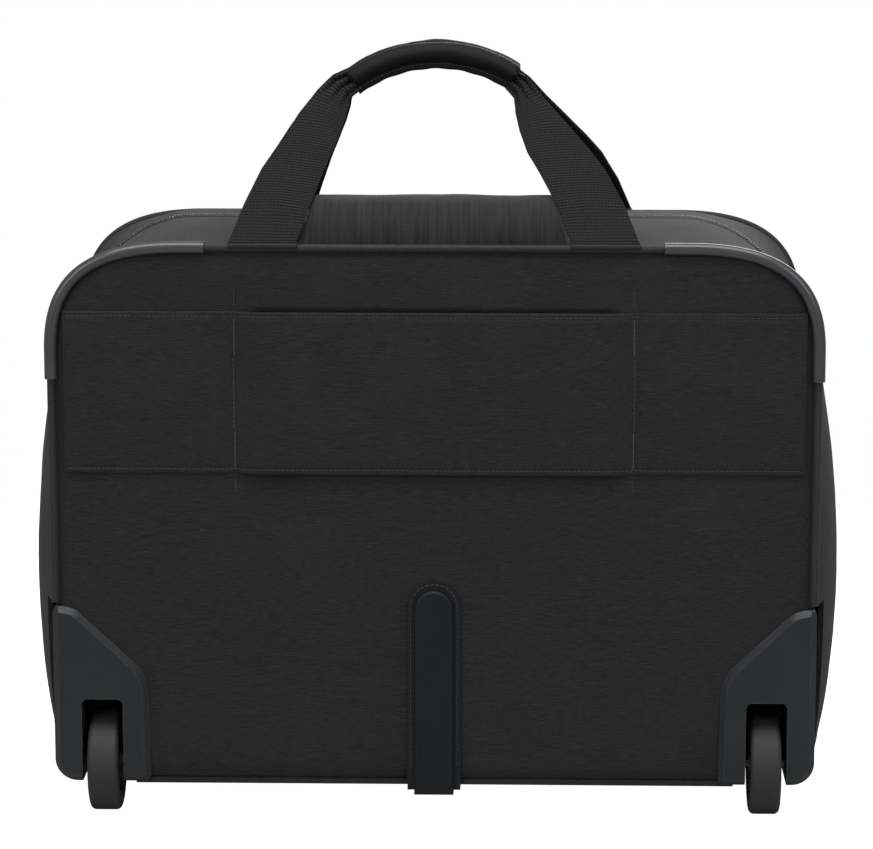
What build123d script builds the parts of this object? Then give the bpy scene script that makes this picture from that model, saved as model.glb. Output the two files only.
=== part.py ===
"""A soft-sided rolling laptop case on two wheels, with a three-stage pull handle.

Frame: X runs across the case, Y from the back (-Y) to the front (+Y) and Z up.
The origin is on the floor, in the middle of the case.  All lengths are in mm.
Depths are counted from the outer face of the back panel, towards the front.
"""
from build123d import *
import math
import os

os.makedirs("parts", exist_ok=True)

# ---------------------------------------------------------------- driving sizes
CENTRE_DEPTH = 92.0        # depth of the frame's origin: half way from wheels to pocket

SEAM_HALF = 216.6          # back seam: half width
SEAM_TOP = 332.0           # back seam: height of its top run
CORNER_X = SEAM_HALF - 73  # the top run ends and the corner starts
CORNER_Z = SEAM_TOP - 58
BODY_FLOOR = 20.0          # underside of the fabric body
FOOT_RADIUS = 22.0         # round of the lower side edges
BELLY = 24.5               # how far the sides swell past the seam at mid depth
WALL = 3.0                 # padded fabric wall
ZIP_DEPTH = 96.0           # plane where the case opens
TAPE_WIDTH = 6.0           # one side of the main zip
TRAY_TOP = 46.0            # the zip ends here, above the uncut bottom tray
PANEL_DEPTH = 176.0        # inner face of the front panel
PANEL_THICK = 4.0
FRONT_TOP = 328.0          # front seam: height of its top run
POCKET_FRONT = 194.5       # outer face of the front pocket
POCKET_TOP = 218.0

BACK_THICK = 6.0           # foam-backed back panel
BEAD_RADIUS = 2.0          # fabric piping
GUARD_RADIUS = 3.4         # plastic edge guard over the piping
GUARD_TOP_X = 129.0        # the guard starts here on the top run
GUARD_END_Z = 257.0        # and ends here on the side

SLEEVE_LOW = 203.0         # luggage sleeve on the back
SLEEVE_HIGH = 296.0
SLEEVE_STITCH_X = 113.0    # vertical seams that close the sleeve's sides

WHEEL_RADIUS = 29.5
WHEEL_X = 190.2
WHEEL_DEPTH = 19.0
TYRE_WIDTH = 17.5
AXLE_RADIUS = 3.0
HOUSING_OUTER = 218.0
HOUSING_REAR = -4.0        # depth of the moulded corner's outer face
HOUSING_SIDE = 20.0        # its side wall reaches this depth
WELL_FRONT = 54.0          # front wall of the wheel well
WELL_TOP = 74.0
WELL_WALL = 3.0
SLOT_HALF = 11.8
SLOT_TOP = 71.0

TUBE_X = 43.0              # pull handle: centre of each tube
TUBE_DEPTH = 16.0
TUBE_WALL = 0.9
TUBE_GAP = 0.3             # clearance between one tube and the next
STAGE_TRAVEL = 220.0
GRIP_HALF = 57.0
GRIP_LOW = 317.0
GRIP_HIGH = 340.0
TUBE_FLOOR = 30.0          # lower end of the fixed tubes
TUBE_HEAD = 309.0          # upper end of the fixed tubes

STRAP_THICK = 1.8
REAR_PIVOT = (0.5, 338.0)  # depth and height of the line that a carry loop folds about
FRONT_PIVOT = (179.5, 334.0)
WRAP_RADIUS = 83.0         # arch of the grip wrap
WRAP_CENTRE_Z = 434.0
WRAP_HALF = 49.0
WRAP_HEIGHT = 17.0
WRAP_DEPTH = 16.4
WRAP_MIDDLE = 90.0         # depth where the two halves of the wrap meet

WRAP_END_Z = 418.0         # height of the wrap's ends
WRAP_TURN = math.asin(WRAP_HALF / WRAP_RADIUS)

SLEEVE_HALF = 209.4
SLEEVE_THICK = 1.5
FOOT_X = 150.0
FOOT_DEPTH = 150.0
BOARD_FRONT = 8.0          # inner face of the back board
HUB_RADIUS = 21.0
BEARING_RADIUS = 6.5
BEARING_WIDTH = 5.0
SCREW_RADIUS = 1.5
SOCKET_DEPTH = 8.0         # how far the inner tubes sit in the grip
SPRING_LOW = GRIP_LOW + 5.0
PIN_RISE = 1.8
POCKET_SLOT = (184.5, 190.0)
BRACKET_SCREWS = ((-20, 33), (20, 33), (-20, 305.5), (20, 305.5))
CORNER_SCREWS = ((-205, 105), (-190, 90), (190, 90), (205, 105))

ALONG_Y = (90, 0, 0)       # turns of a cylinder that is not along X
UPRIGHT = (0, 0, 0)
SIDES = (("left", -1), ("right", 1))


# ---------------------------------------------------------------- helpers
def at_depth(depth):
    """An upright plane facing the back of the case; extruding it goes towards the back."""
    return Plane.XZ.offset(CENTRE_DEPTH - depth)


def block(x_span, depth_span, z_span, mode=Mode.ADD):
    """A box given by its limits, added to or cut from the part being built."""
    spans = (x_span, depth_span, z_span)
    sizes = [high - low for low, high in spans]
    middles = [(high + low) / 2 for low, high in spans]
    with Locations((middles[0], middles[1] - CENTRE_DEPTH, middles[2])):
        Box(*sizes, mode=mode)


def rod(centre_x, depth, z, radius, length, mode=Mode.ADD, axis=(0, 90, 0)):
    """A cylinder about a point, along X unless another turn is given."""
    with Locations((centre_x, depth - CENTRE_DEPTH, z)):
        Cylinder(radius, length, rotation=axis, mode=mode)


def screw_holes(places):
    """Cuts screw holes along Y that stop inside the moulded corners' outer face."""
    for x, z in places:
        rod(x, 13.8, z, SCREW_RADIUS, 32, Mode.SUBTRACT, ALONG_Y)


def save(part, label):
    """Names a finished piece and writes it."""
    part.label = label
    export_step(part, f"parts/{label}.step")


def half_outline(swell, crown, inset=0.0):
    """The right half of the case's outline, from the middle of the floor to the top.

    swell is 0 at a seam and 1 where the sides stand out most, and crown is the top's height.
    """
    low = BODY_FLOOR + inset
    top = crown - inset
    base = SEAM_HALF + 9.0 * swell - inset
    shoulder = SEAM_HALF + 4.5 * swell - inset
    foot = FOOT_RADIUS - inset
    shoulder_z = crown - 58.0 - 21.0 * swell
    Line((0, low), (base - foot, low))
    RadiusArc((base - foot, low), (base, low + foot), -foot)
    Bezier(
        (base, low + foot),
        (base + 0.5 * BELLY * swell, low + 60),
        (shoulder + 0.8 * BELLY * swell, shoulder_z - 85),
        (shoulder, shoulder_z),
    )
    Bezier(
        (shoulder, shoulder_z),
        (shoulder - 6.0 * swell, shoulder_z + 40 - 3 * swell),
        (shoulder - 22.5 - 17.0 * swell, top),
        (shoulder - 73.0 - 6.5 * swell, top),
    )
    Line((shoulder - 73.0 - 6.5 * swell, top), (0, top))


def seam_corner(sign, crown=SEAM_TOP):
    """The rounded upper corner of a seam, as a line."""
    Bezier(
        (sign * CORNER_X, crown),
        (sign * (SEAM_HALF - 22.5), crown),
        (sign * SEAM_HALF, crown - 18),
        (sign * SEAM_HALF, crown - 58),
    )


def case_face(depth, swell, crown, inset=0.0):
    """A full cross-section of the case at one depth."""
    with BuildSketch(at_depth(depth)) as face:
        with BuildLine():
            half_outline(swell, crown, inset)
            mirror(about=Plane.YZ)
        make_face()
    return face.sketch


def case_ring(sections, wall=WALL):
    """The padded wall round the case, through sections of (depth, swell, crown)."""
    outside = [case_face(depth, swell, crown) for depth, swell, crown in sections]
    inside = [case_face(depth, swell, crown, inset=wall) for depth, swell, crown in sections]
    loft(outside)
    loft(inside, mode=Mode.SUBTRACT)


def zip_ring(front_depth, width):
    """One side of the main zip: a thin strip round the case, above the bottom tray."""
    extrude(case_face(front_depth, 1.0, ZIP_CROWN), amount=width)
    extrude(case_face(front_depth, 1.0, ZIP_CROWN, inset=1.6), amount=width, mode=Mode.SUBTRACT)
    split(bisect_by=Plane.XY.offset(TRAY_TOP), keep=Keep.TOP)


REAR_SECTIONS = ((4.0, 0.0, SEAM_TOP), (45.0, 0.75, 336.0), (90.0, 1.0, 337.5))
FRONT_SECTIONS = ((102.0, 1.0, 337.5), (140.0, 0.8, 335.0), (PANEL_DEPTH, 0.0, FRONT_TOP))
ZIP_CROWN = 337.5


def housing_face(sign, depth, inset=0.0):
    """The moulded corner's outline, seen from behind."""
    with BuildSketch(at_depth(depth)) as face:
        with BuildLine():
            FilletPolyline(
                (sign * (HOUSING_OUTER - inset), 125.5 - inset),
                (sign * 206.0, 124.6 - inset),
                (sign * (163.8 + inset), 84.8 - inset),
                (sign * (162.8 + inset), 22.0 + inset),
                (sign * (HOUSING_OUTER - inset), 22.0 + inset),
                radius=[4.0 - inset, 18.0 - inset, 26.0 - inset, 4.0 - inset, 13.0 - inset],
                close=True,
            )
        make_face()
    return face.sketch


def well_room():
    """Cuts the space of both wheel wells."""
    for _, sign in SIDES:
        x_span = sorted((sign * 171.7, sign * 209.0))
        block(x_span, (-20, WELL_FRONT + 0.4), (0, 76.3), mode=Mode.SUBTRACT)


def corner_room():
    """Cuts the space of the moulded corners' side walls."""
    for _, sign in SIDES:
        x_span = sorted((sign * 171.7, sign * 240.0))
        block(x_span, (-20, HOUSING_SIDE + 0.2), (0, 125.8), mode=Mode.SUBTRACT)


def seam_path(depth, crown, end_z):
    """The seam that a piping follows, up one side, over the top and down the other."""
    with BuildLine(at_depth(depth)) as path:
        Line((-SEAM_HALF, end_z), (-SEAM_HALF, crown - 58))
        seam_corner(-1, crown)
        Line((-CORNER_X, crown), (CORNER_X, crown))
        seam_corner(1, crown)
        Line((SEAM_HALF, crown - 58), (SEAM_HALF, end_z))
    return path.line


def bead(path, radius):
    """A round bead swept along a seam."""
    with BuildSketch(Plane(path @ 0, z_dir=path % 0)) as section:
        Circle(radius)
    sweep(section.sketch, path=path)


def hump_face(x, rise, inset=0.0):
    """A slice across the soft cover over the stowed pull handle, seen from the side."""
    back = 4.5 + inset - CENTRE_DEPTH
    front = 86.0 - inset - CENTRE_DEPTH
    base = 338.0 - 0.5 * inset
    with BuildSketch(Plane.YZ.offset(x)) as face:
        with BuildLine():
            Bezier(
                (back, base),
                (back + 5.5, base + 23 * rise - inset / 2),
                (front - 26, base + 25 * rise - inset / 2),
                (front, base),
            )
            Line((front, base), (back, base))
        make_face()
    return face.sketch


def tube_size(stage):
    """Width, depth and corner radius of a handle tube; stage 0 is the fixed outer tube."""
    step = 2 * (TUBE_WALL + TUBE_GAP) * stage
    return 24.0 - step, 14.0 - step, 4.5 - step / 2


def tube_faces(stage, z, grow=0.0):
    """The outlines of both tubes of a stage at one height."""
    width, depth, radius = tube_size(stage)
    with BuildSketch(Plane.XY.offset(z)) as faces:
        with Locations((-TUBE_X, TUBE_DEPTH - CENTRE_DEPTH), (TUBE_X, TUBE_DEPTH - CENTRE_DEPTH)):
            RectangleRounded(width + 2 * grow, depth + 2 * grow, max(radius + grow, 0.3))
    return faces.sketch


def tube_pair(stage, low, high):
    """Both hollow tubes of a stage."""
    extrude(tube_faces(stage, low), amount=high - low)
    extrude(tube_faces(stage, low, grow=-TUBE_WALL), amount=high - low, mode=Mode.SUBTRACT)


def stage_floor(stage):
    """Height of a stage's lower end when the handle is stowed."""
    return TUBE_FLOOR + 4.0 * stage


def lock_holes(z):
    """Holes for the spring-loaded lock pins, on the outer side of each tube."""
    for _, sign in SIDES:
        rod(sign * (TUBE_X + 7), TUBE_DEPTH, z, 1.05, 12, Mode.SUBTRACT)


# ---------------------------------------------------------------- back of the case
with BuildPart() as back_panel:
    extrude(case_face(BACK_THICK, 0.0, SEAM_TOP, inset=3.7), amount=BACK_THICK)
    well_room()
    block((-106, 106), (-1, 3.2), (188, 312), mode=Mode.SUBTRACT)
    screw_holes(CORNER_SCREWS)
save(back_panel.part, "back_panel")

with BuildPart() as luggage_sleeve:
    with BuildSketch(Plane((0, -CENTRE_DEPTH, SLEEVE_LOW))):
        with BuildLine():
            Polyline(
                (SLEEVE_HALF, 0),
                (SLEEVE_STITCH_X - 3, 0),
                (100, -3.0),
                (-100, -3.0),
                (3 - SLEEVE_STITCH_X, 0),
                (-SLEEVE_HALF, 0),
                (-SLEEVE_HALF, -SLEEVE_THICK),
                (-SLEEVE_STITCH_X, -SLEEVE_THICK),
                (-102, -3.0 - SLEEVE_THICK),
                (102, -3.0 - SLEEVE_THICK),
                (SLEEVE_STITCH_X, -SLEEVE_THICK),
                (SLEEVE_HALF, -SLEEVE_THICK),
                close=True,
            )
        make_face()
    extrude(amount=SLEEVE_HIGH - SLEEVE_LOW)
save(luggage_sleeve.part, "luggage_sleeve")

with BuildPart() as rear_gusset:
    case_ring(REAR_SECTIONS)
    split(bisect_by=Plane.XY.offset(TRAY_TOP), keep=Keep.TOP)
    corner_room()
    block((-62, 62), (0, 29), (320, 350), mode=Mode.SUBTRACT)
save(rear_gusset.part, "rear_gusset")

with BuildPart() as bottom_panel:
    case_ring(REAR_SECTIONS + FRONT_SECTIONS)
    split(bisect_by=Plane.XY.offset(TRAY_TOP - 0.3), keep=Keep.BOTTOM)
    well_room()
    corner_room()
save(bottom_panel.part, "bottom_panel")

with BuildPart() as rear_zip_tape:
    zip_ring(ZIP_DEPTH - 0.2, TAPE_WIDTH - 0.3)
save(rear_zip_tape.part, "rear_zip_tape")

with BuildPart() as rear_piping:
    bead(seam_path(0.5, SEAM_TOP, 127.5), BEAD_RADIUS)
save(rear_piping.part, "rear_piping")

for side, sign in SIDES:
    with BuildPart() as edge_guard:
        with BuildLine(at_depth(0.5)) as guard_path:
            Line((sign * GUARD_TOP_X, SEAM_TOP), (sign * CORNER_X, SEAM_TOP))
            seam_corner(sign)
            Line((sign * SEAM_HALF, CORNER_Z), (sign * SEAM_HALF, GUARD_END_Z))
        with BuildSketch(Plane(guard_path.line @ 0, z_dir=guard_path.line % 0)):
            Circle(GUARD_RADIUS)
            Circle(BEAD_RADIUS + 0.1, mode=Mode.SUBTRACT)
        sweep()
    save(edge_guard.part, f"{side}_edge_guard")

with BuildPart() as kick_plate:
    for half, low, top, back, front in ((15.2, 18.0, 141.0, -1.6, 0.0), (11.3, 15.5, 136.0, -5.0, -1.6)):
        with BuildSketch(at_depth(front)):
            with Locations((0, (low + top - half) / 2)):
                Rectangle(2 * half, top - half - low)
            with Locations((0, top - half)):
                Circle(half)
        extrude(amount=front - back)
    fillet(kick_plate.faces().sort_by(Axis.Y)[0].edges(), 2.0)
    block((-15.2, 15.2), (0, 26), (18.0, 19.8))
    block((-11.3, 11.3), (-1.6, 24), (15.5, 18.0))
save(kick_plate.part, "kick_plate")

with BuildPart() as front_feet:
    for _, sign in SIDES:
        with BuildSketch(Plane((sign * FOOT_X, FOOT_DEPTH - CENTRE_DEPTH, BODY_FLOOR), z_dir=(0, 0, -1))):
            RectangleRounded(52, 22, 8)
        extrude(amount=BODY_FLOOR, taper=8)
    fillet(front_feet.faces().group_by(Axis.Z)[0].edges(), 2.0)
save(front_feet.part, "front_feet")

# ---------------------------------------------------------------- stiffeners and lining
with BuildPart() as back_board:
    extrude(case_face(BOARD_FRONT, 0.0, SEAM_TOP, inset=9.0), amount=BOARD_FRONT - BACK_THICK)
    well_room()
    block((-64, 64), (0, 10), (314, 330), mode=Mode.SUBTRACT)
    screw_holes(BRACKET_SCREWS)
    screw_holes(CORNER_SCREWS)
save(back_board.part, "back_board")

with BuildPart() as bottom_board:
    block((-168, 168), (BOARD_FRONT + 0.2, 170), (23.2, 25.4))
    block((-195, 195), (WELL_FRONT + 1, 170), (23.2, 25.4))
save(bottom_board.part, "bottom_board")

with BuildPart() as inner_wall:
    extrude(case_face(57, 0.8, 335.0, inset=9.0), amount=2)
save(inner_wall.part, "inner_wall")

with BuildPart() as laptop_divider:
    extrude(case_face(90, 1.0, ZIP_CROWN, inset=9.0), amount=6)
    split(bisect_by=Plane.XY.offset(292), keep=Keep.BOTTOM)
save(laptop_divider.part, "laptop_divider")

with BuildPart() as port_cover:
    outside = [hump_face(x, rise) for x, rise in ((-96, 0.2), (-58, 1), (58, 1), (96, 0.2))]
    loft(outside, ruled=True)
    inside = [hump_face(x, rise, inset=2.2) for x, rise in ((-92, 0.2), (-57, 1), (57, 1), (92, 0.2))]
    loft(inside, ruled=True, mode=Mode.SUBTRACT)
save(port_cover.part, "port_cover")

# ---------------------------------------------------------------- wheels
for side, sign in SIDES:
    wheel_x = sign * WHEEL_X
    with BuildPart() as housing:
        extrude(housing_face(sign, HOUSING_SIDE), amount=HOUSING_SIDE - HOUSING_REAR)
        rear_edges = housing.faces().sort_by(Axis.Y)[0].edges()
        chamfer(rear_edges, 3.2)
        extrude(housing_face(sign, HOUSING_SIDE, inset=3.4), amount=HOUSING_SIDE, mode=Mode.SUBTRACT)
        x_span = sorted((sign * 150, sign * 214.6))
        block(x_span, (0, 30), (76, 130), mode=Mode.SUBTRACT)
        x_span = sorted((sign * 150, sign * 172))
        block(x_span, (0, 30), (0, 130), mode=Mode.SUBTRACT)
        x_span = sorted((sign * (WHEEL_X - SLOT_HALF - WELL_WALL), sign * (WHEEL_X + SLOT_HALF + WELL_WALL)))
        block(x_span, (0, WELL_FRONT), (22, WELL_TOP))
        for wall_x in (WHEEL_X - SLOT_HALF - WELL_WALL - 1.4, WHEEL_X + SLOT_HALF + WELL_WALL + 1.4):
            rod(sign * wall_x, WHEEL_DEPTH, WHEEL_RADIUS, 7, 2.8)
        with BuildSketch(at_depth(WELL_FRONT - WELL_WALL)) as slot:
            with BuildLine():
                FilletPolyline(
                    (wheel_x - SLOT_HALF, 10),
                    (wheel_x - SLOT_HALF, SLOT_TOP),
                    (wheel_x + SLOT_HALF, SLOT_TOP),
                    (wheel_x + SLOT_HALF, 10),
                    radius=[0, 3.5, 3.5, 0],
                    close=True,
                )
            make_face()
        extrude(amount=70, mode=Mode.SUBTRACT)
        rod(wheel_x, WHEEL_DEPTH, WHEEL_RADIUS, AXLE_RADIUS, 60, Mode.SUBTRACT)
        screw_holes(CORNER_SCREWS)
    save(housing.part, f"{side}_wheel_housing")

    with BuildPart() as tyre:
        rod(wheel_x, WHEEL_DEPTH, WHEEL_RADIUS, WHEEL_RADIUS, TYRE_WIDTH)
        fillet(tyre.edges(), 3.0)
        rod(wheel_x, WHEEL_DEPTH, WHEEL_RADIUS, HUB_RADIUS, 40, Mode.SUBTRACT)
    save(tyre.part, f"{side}_tyre")

    with BuildPart() as hub:
        rod(wheel_x, WHEEL_DEPTH, WHEEL_RADIUS, HUB_RADIUS, TYRE_WIDTH - 1.0)
        for face_sign in (-1, 1):
            pocket_x = wheel_x + face_sign * (TYRE_WIDTH / 2 - 2.5)
            with BuildSketch(Plane.YZ.offset(pocket_x)):
                with Locations((WHEEL_DEPTH - CENTRE_DEPTH, WHEEL_RADIUS)):
                    Circle(HUB_RADIUS - 2.2)
                    Circle(BEARING_RADIUS + 1.8, mode=Mode.SUBTRACT)
                    with PolarLocations(0, 5):
                        with Locations((HUB_RADIUS / 2 + 3, 0)):
                            Rectangle(HUB_RADIUS, 2.6, mode=Mode.SUBTRACT)
            extrude(amount=face_sign * 5, mode=Mode.SUBTRACT)
            bearing_x = wheel_x + face_sign * (TYRE_WIDTH / 2 - BEARING_WIDTH / 2)
            rod(bearing_x, WHEEL_DEPTH, WHEEL_RADIUS, BEARING_RADIUS, BEARING_WIDTH, Mode.SUBTRACT)
        rod(wheel_x, WHEEL_DEPTH, WHEEL_RADIUS, BEARING_RADIUS - 2, 40, Mode.SUBTRACT)
    save(hub.part, f"{side}_hub")

    with BuildPart() as bearings:
        for face_sign in (-1, 1):
            bearing_x = wheel_x + face_sign * (TYRE_WIDTH / 2 - BEARING_WIDTH / 2)
            rod(bearing_x, WHEEL_DEPTH, WHEEL_RADIUS, BEARING_RADIUS, BEARING_WIDTH)
            rod(bearing_x, WHEEL_DEPTH, WHEEL_RADIUS, AXLE_RADIUS + 0.05, 20, Mode.SUBTRACT)
    save(bearings.part, f"{side}_bearings")

with BuildPart() as wheel_axles:
    for _, sign in SIDES:
        rod(sign * WHEEL_X, WHEEL_DEPTH, WHEEL_RADIUS, AXLE_RADIUS, 2 * (SLOT_HALF + WELL_WALL + 2.6))
save(wheel_axles.part, "wheel_axles")

with BuildPart() as corner_screws:
    for x, z in CORNER_SCREWS:
        rod(x, (BOARD_FRONT - 2.2) / 2, z, SCREW_RADIUS, BOARD_FRONT + 2.2, axis=ALONG_Y)
        rod(x, BOARD_FRONT + 0.8, z, 3.2, 1.6, axis=ALONG_Y)
save(corner_screws.part, "corner_screws")

# ---------------------------------------------------------------- pull handle
with BuildPart() as outer_tubes:
    tube_pair(0, TUBE_FLOOR, TUBE_HEAD)
    lock_holes(stage_floor(1) + PIN_RISE + STAGE_TRAVEL)
save(outer_tubes.part, "outer_tubes")

with BuildPart() as handle_bezel:
    block((-61, 61), (BOARD_FRONT + 0.2, 25), (TUBE_HEAD - 7, TUBE_HEAD + 3))
    extrude(tube_faces(0, TUBE_HEAD - 7), amount=7, mode=Mode.SUBTRACT)
    extrude(tube_faces(1, TUBE_HEAD, grow=0.4), amount=3, mode=Mode.SUBTRACT)
    screw_holes(BRACKET_SCREWS)
save(handle_bezel.part, "handle_bezel")

with BuildPart() as handle_base:
    block((-62, 62), (BOARD_FRONT + 0.2, 25), (25.6, 38))
    extrude(tube_faces(0, TUBE_FLOOR), amount=20, mode=Mode.SUBTRACT)
    screw_holes(BRACKET_SCREWS)
save(handle_base.part, "handle_base")

with BuildPart() as bracket_screws:
    for x, z in BRACKET_SCREWS:
        rod(x, (25 + BACK_THICK + 0.3) / 2, z, SCREW_RADIUS, 25 - BACK_THICK - 0.3, axis=ALONG_Y)
        rod(x, 25.8, z, 3.2, 1.6, axis=ALONG_Y)
save(bracket_screws.part, "bracket_screws")

for stage in (1, 2, 3):
    low = stage_floor(stage)
    high = TUBE_HEAD + 3.0 * stage
    if stage == 3:
        high = GRIP_LOW + SOCKET_DEPTH
    pin_reach = tube_size(stage)[0] / 2
    with BuildPart() as tubes:
        tube_pair(stage, low, high)
        lock_holes(low + PIN_RISE)
        if stage < 3:
            lock_holes(stage_floor(stage + 1) + PIN_RISE + STAGE_TRAVEL)
    save(tubes.part, f"stage_{stage}_tubes")

    with BuildPart() as plugs:
        extrude(tube_faces(stage, low, grow=-TUBE_WALL), amount=3.6)
        lock_holes(low + PIN_RISE)
    save(plugs.part, f"stage_{stage}_plugs")

    with BuildPart() as lock_pins:
        for _, sign in SIDES:
            rod(sign * (TUBE_X + pin_reach / 2 + 0.9), TUBE_DEPTH, low + PIN_RISE, 1.0, pin_reach - 2.0)
    save(lock_pins.part, f"stage_{stage}_lock_pins")

with BuildPart() as handle_grip:
    block((-GRIP_HALF, GRIP_HALF), (6.4, 25.6), (GRIP_LOW, GRIP_HIGH))
    fillet(handle_grip.edges().filter_by(Axis.X), 5.0)
    fillet(handle_grip.faces().filter_by(Axis.X).edges(), 2.5)
    extrude(tube_faces(3, GRIP_LOW), amount=SOCKET_DEPTH, mode=Mode.SUBTRACT)
    block((-52, 52), (12.4, 19.6), (GRIP_LOW + SOCKET_DEPTH, GRIP_HIGH - 4), mode=Mode.SUBTRACT)
    block((-12, 12), (11.6, 20.4), (GRIP_HIGH - 10.6, GRIP_HIGH + 1), mode=Mode.SUBTRACT)
    rod(0, TUBE_DEPTH, SPRING_LOW + 4, 3.2, 8, Mode.SUBTRACT, UPRIGHT)
save(handle_grip.part, "handle_grip")

with BuildPart() as release_button:
    block((-11.6, 11.6), (12.0, 20.0), (GRIP_HIGH - 7, GRIP_HIGH + 2.5))
    fillet(release_button.edges().group_by(Axis.Z)[-1], 1.5)
    block((-46, 46), (14.0, 18.0), (GRIP_HIGH - 7, GRIP_HIGH - 4.3))
save(release_button.part, "release_button")

with BuildPart() as release_rods:
    for _, sign in SIDES:
        rod_low = stage_floor(3) + 8
        rod_high = GRIP_HIGH - 7
        rod(sign * TUBE_X, TUBE_DEPTH, (rod_low + rod_high) / 2, 1.3, rod_high - rod_low, axis=UPRIGHT)
save(release_rods.part, "release_rods")

with BuildPart() as button_spring:
    with BuildLine(Plane((0, TUBE_DEPTH - CENTRE_DEPTH, SPRING_LOW + 0.5))) as coil:
        Helix(pitch=1.5, height=GRIP_HIGH - 8 - SPRING_LOW, radius=2.4)
    with BuildSketch(Plane(coil.line @ 0, z_dir=coil.line % 0)):
        Circle(0.35)
    sweep(is_frenet=True)
save(button_spring.part, "button_spring")

# ---------------------------------------------------------------- front shell
with BuildPart() as front_gusset:
    case_ring(FRONT_SECTIONS)
    split(bisect_by=Plane.XY.offset(TRAY_TOP), keep=Keep.TOP)
save(front_gusset.part, "front_gusset")

with BuildPart() as front_zip_tape:
    zip_ring(ZIP_DEPTH + TAPE_WIDTH - 0.1, TAPE_WIDTH - 0.3)
save(front_zip_tape.part, "front_zip_tape")

with BuildPart() as front_panel:
    extrude(case_face(PANEL_DEPTH + PANEL_THICK, 0.0, FRONT_TOP, inset=3.7), amount=PANEL_THICK)
    split(bisect_by=Plane.XY.offset(27), keep=Keep.TOP)
save(front_panel.part, "front_panel")

with BuildPart() as front_piping:
    bead(seam_path(PANEL_DEPTH + PANEL_THICK - 0.5, FRONT_TOP, 48.0), BEAD_RADIUS)
save(front_piping.part, "front_piping")

with BuildPart() as organiser_panel:
    extrude(case_face(172, 0.0, FRONT_TOP, inset=14.0), amount=3)
    split(bisect_by=Plane.XY.offset(60), keep=Keep.TOP)
    split(bisect_by=Plane.XY.offset(240), keep=Keep.BOTTOM)
save(organiser_panel.part, "organiser_panel")

with BuildPart() as front_pocket:
    pocket_middle = (48 + POCKET_TOP) / 2
    with BuildSketch(at_depth(POCKET_FRONT)):
        with Locations((0, pocket_middle)):
            RectangleRounded(384, POCKET_TOP - 48, 24)
    extrude(amount=POCKET_FRONT - PANEL_DEPTH - PANEL_THICK)
    fillet(front_pocket.faces().sort_by(Axis.Y)[-1].edges(), 5.0)
    with BuildSketch(at_depth(POCKET_FRONT - 2)):
        with Locations((0, pocket_middle)):
            RectangleRounded(378, POCKET_TOP - 54, 21)
    extrude(amount=POCKET_FRONT, mode=Mode.SUBTRACT)
    block((-150, 150), POCKET_SLOT, (POCKET_TOP - 5, POCKET_TOP + 2), mode=Mode.SUBTRACT)
save(front_pocket.part, "front_pocket")

with BuildPart() as pocket_zip_tape:
    block((-150, 150), POCKET_SLOT, (POCKET_TOP - 1.6, POCKET_TOP))
save(pocket_zip_tape.part, "pocket_zip_tape")

# ---------------------------------------------------------------- carry handles
for name, pivot, facing in (("rear", REAR_PIVOT, 1), ("front", FRONT_PIVOT, -1)):
    wrap_depth = WRAP_MIDDLE - facing * (WRAP_DEPTH / 2 + 0.3)
    reach = abs(wrap_depth - pivot[0])
    rise = WRAP_END_Z - pivot[1]
    length = math.hypot(reach, rise)
    lean = Plane(
        (0, pivot[0] - CENTRE_DEPTH, pivot[1]),
        x_dir=(1, 0, 0),
        z_dir=(0, -rise, facing * reach),
    )
    with BuildPart() as webbing:
        for _, sign in SIDES:
            with BuildSketch(lean) as strap:
                with BuildLine():
                    Polyline(
                        (sign * 115, 0),
                        (sign * 99.5, 0.41 * length),
                        (sign * 84, 0.69 * length),
                        (sign * 57, 1.09 * length),
                        (sign * 50, 0.84 * length),
                        (sign * 56.4, 0.62 * length),
                        (sign * 68.5, 0.28 * length),
                        (sign * 77, 0),
                        close=True,
                    )
                make_face()
            extrude(amount=STRAP_THICK / 2, both=True)
            rod(sign * 96, pivot[0], pivot[1], 1.6, 38)
    save(webbing.part, f"{name}_webbing")

    with BuildPart() as grip_wrap:
        start = Plane(
            (
                -WRAP_RADIUS * math.sin(WRAP_TURN),
                wrap_depth - CENTRE_DEPTH,
                WRAP_CENTRE_Z - WRAP_RADIUS + WRAP_RADIUS * math.cos(WRAP_TURN),
            ),
            x_dir=(0, 1, 0),
            z_dir=(math.cos(WRAP_TURN), 0, math.sin(WRAP_TURN)),
        )
        with BuildSketch(start):
            RectangleRounded(WRAP_DEPTH, WRAP_HEIGHT, 4.5)
        revolve(
            axis=Axis((0, 0, WRAP_CENTRE_Z - WRAP_RADIUS), (0, 1, 0)),
            revolution_arc=2 * math.degrees(WRAP_TURN),
        )
    save(grip_wrap.part, f"{name}_grip_wrap")

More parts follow.
